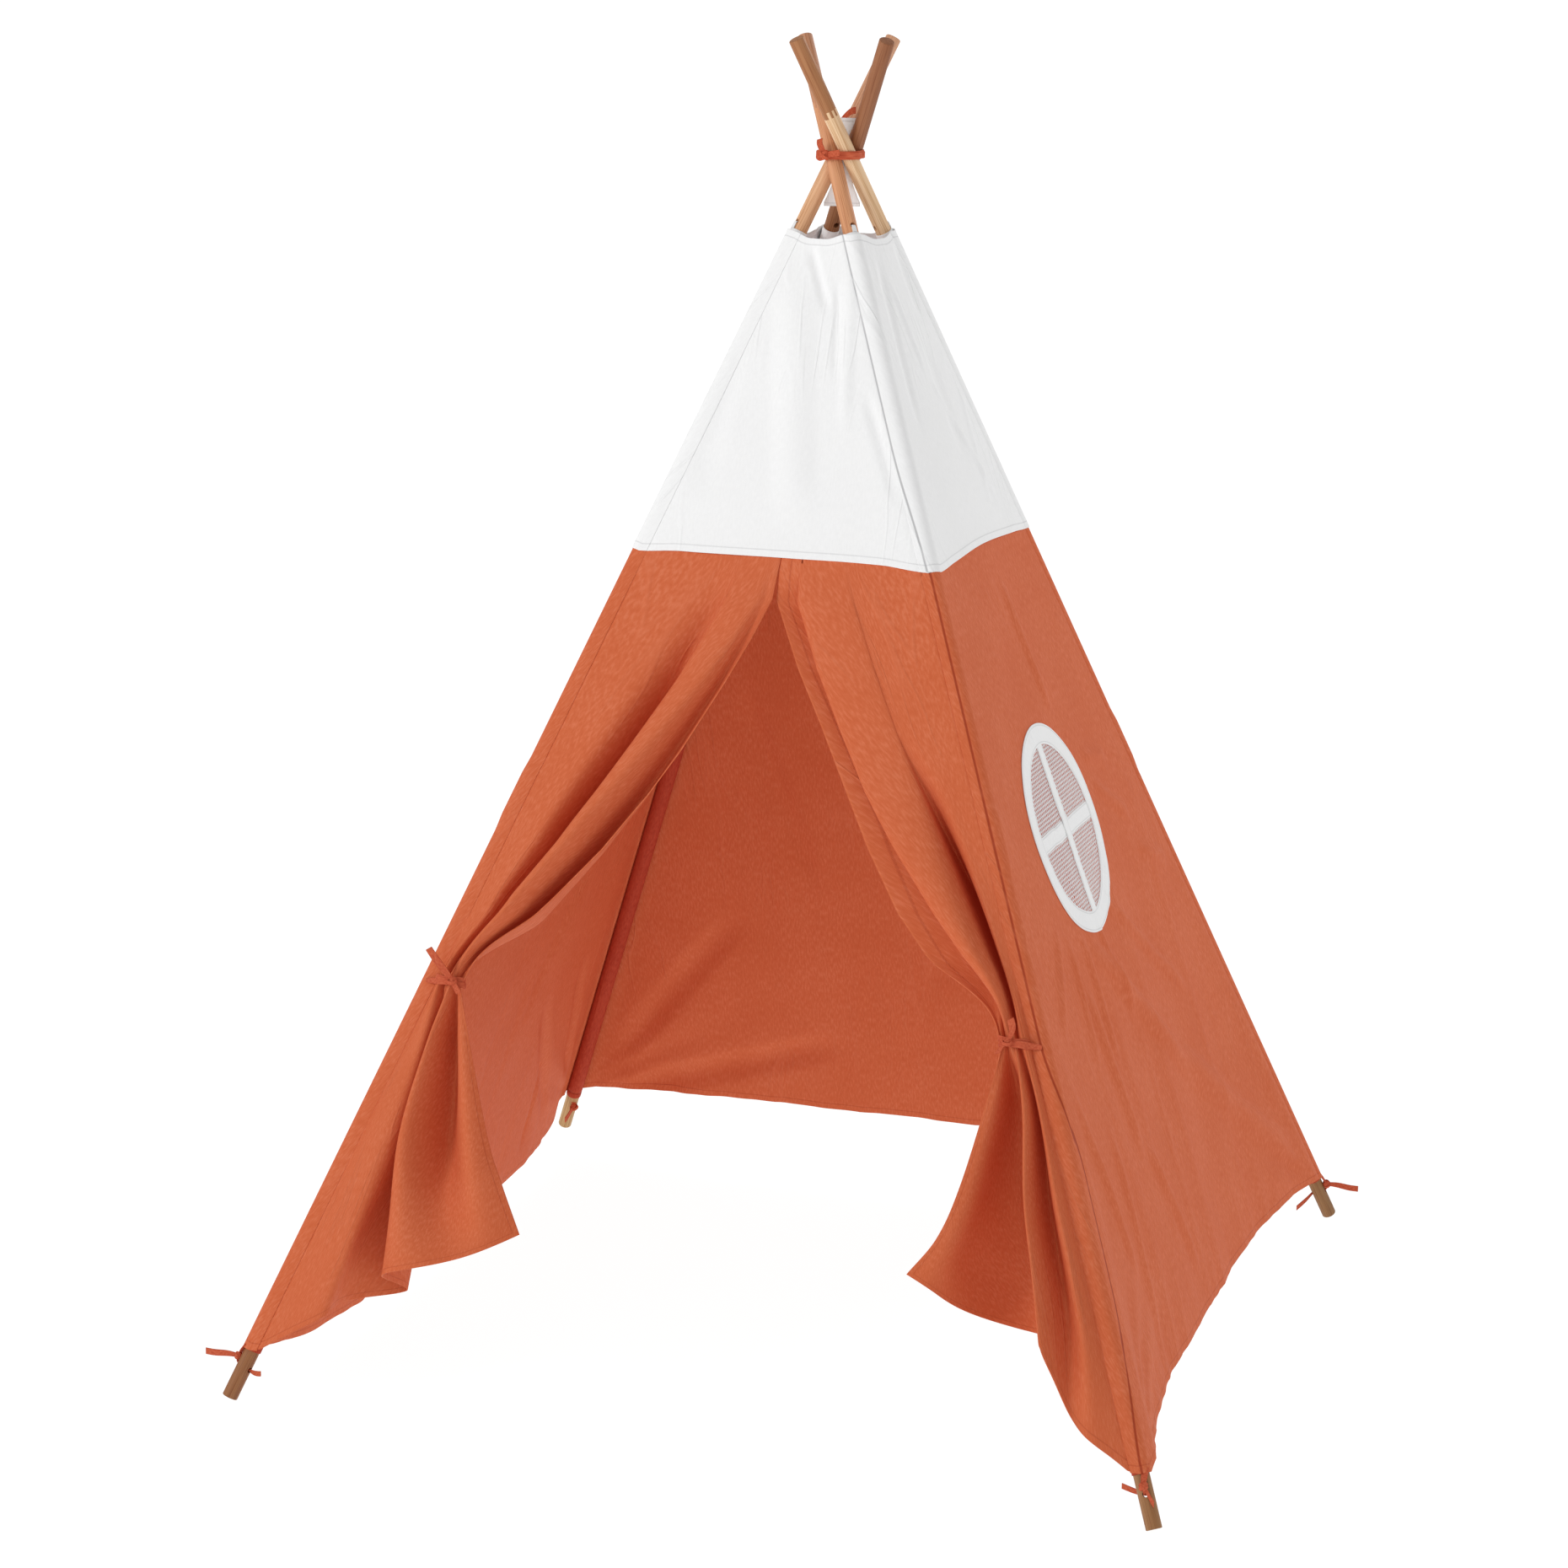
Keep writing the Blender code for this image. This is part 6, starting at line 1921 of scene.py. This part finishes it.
for name, steps, tall in LASHING_ENDS:
    path = [knot_centre + Vector(step) for step in steps]
    widths = [0.006] + [TAPE_WIDTH * 0.9] * (len(path) - 1)
    parts.append(tape(name, path, widths, tall, thickness=0.0009))
placed(joined("tape_lashing_knot", parts), "lashing_knot", "terracotta_tape", "cover")

path = [Vector(step) + crossing for step in LOOSE_LOOP]
loose_loop = tape("tape_loose_loop", path, TAPE_WIDTH, UP)
placed(loose_loop, "lashing_loop", "terracotta_tape", "cover")

# %% [markdown]
# ## Tag
#
# A plain white cloth tag hangs through the middle of the crossing. It is drawn in where the poles pass it.


# %% Tag
TAG_ROWS, TAG_COLUMNS = 64, 20
TAG_TRY = 0.0004  # the step in which the free width is found


def room_between_poles(height, across):
    """Half the width that the tag can have at a height without touching a pole."""
    clear = POLE_RADIUS + TAG_THICKNESS / 2 + GAP
    width = 0.0
    while width < TAG_WIDTH / 2:
        for side in (-1, 1):
            edge = across * side * (width + TAG_TRY) + Vector((0, 0, height))
            if any((to_pole @ edge).xy.length < clear for to_pole in to_poles):
                return width
        width += TAG_TRY
    return TAG_WIDTH / 2


def make_tag():
    across = Vector((math.cos(TAG_TURN), math.sin(TAG_TURN), 0))
    facing = Vector((-math.sin(TAG_TURN), math.cos(TAG_TURN), 0))

    def place(column, row):
        height = CROSSING_HEIGHT + lerp(-TAG_BELOW, TAG_ABOVE, row / TAG_ROWS)
        half = min(room_between_poles(height + nearby, across) for nearby in (-0.003, 0.0, 0.003))
        along = half * (2 * column / TAG_COLUMNS - 1)
        away = abs(height - CROSSING_HEIGHT)
        curl = 0.0012 * math.sin(along / 0.007 + height * 30) * smooth((away - 0.012) / 0.03)
        point = across * along + facing * curl + Vector((0, 0, height))
        ends = min(height - CROSSING_HEIGHT + TAG_BELOW, CROSSING_HEIGHT + TAG_ABOVE - height)
        return point, (along, height), min(ends + 0.005, FAR_FROM_EDGE)

    return cloth_sheet("white_tag", TAG_COLUMNS, TAG_ROWS, place, white_canvas, 0.0005, 0.0005)


to_poles = [pole_frame(pole).inverted() for pole in POLES]
tag = placed(make_tag(), "blank_tag", "white_cloth", "cover")

# %% [markdown]
# ## Floor and light
#
# The photograph is lit almost without shadows in front of pure white. A wide pale floor that glows a little
# fills the picture, and a bright world gives the soft light. Two square lamps, one at the front left and a
# smaller one behind on the right, model the folds and light the right wall.

# %% Floor and light
FLOOR_RADIUS, FLOOR_GLOW = 120.0, 0.97
WORLD_LIGHT = 0.58
LAMPS = (("key", (-3.4, -3.6, 3.0), 1.4, 84.0), ("side", (2.2, 3.6, 3.2), 1.0, 46.0))  # place, size, watts

floor_mesh = bmesh.new()
bmesh.ops.create_circle(floor_mesh, cap_ends=True, segments=96, radius=FLOOR_RADIUS)
floor_material, floor_tree = new_material(
    "white_studio_floor", Roughness=0.9, Emission_Color=(1, 1, 1, 1), Emission_Strength=FLOOR_GLOW
)
floor_grain = add_node(floor_tree, "TexNoise", Scale=3.0)
floor_tone = ramp(floor_tree, floor_grain, [(0.3, "#5E5E5E"), (0.7, "#646464")]).outputs["Color"]
piece_from(floor_mesh, "studio_floor", finished(floor_material, floor_tone))

world = bpy.data.worlds.new("white_studio")
bpy.context.scene.world = world
world.use_nodes = True
world.node_tree.nodes["Background"].inputs["Color"].default_value = (1.0, 1.0, 1.0, 1.0)
world.node_tree.nodes["Background"].inputs["Strength"].default_value = WORLD_LIGHT

for name, place, size, watts in LAMPS:
    lamp = bpy.data.lights.new(name, "AREA")
    lamp.shape, lamp.size, lamp.size_y, lamp.energy = "RECTANGLE", size, size, watts
    stand = bpy.data.objects.new(name, lamp)
    stand.location = place
    stand.rotation_euler = (Vector((0, 0, 0.7)) - stand.location).to_track_quat("-Z", "Y").to_euler()
    bpy.context.scene.collection.objects.link(stand)

view = bpy.context.scene.view_settings
view.view_transform, view.look, view.exposure, view.gamma = "Standard", "None", 0.0, 1.0
print("lights:", ", ".join(f"{name} {watts:.0f} W" for name, _, _, watts in LAMPS))
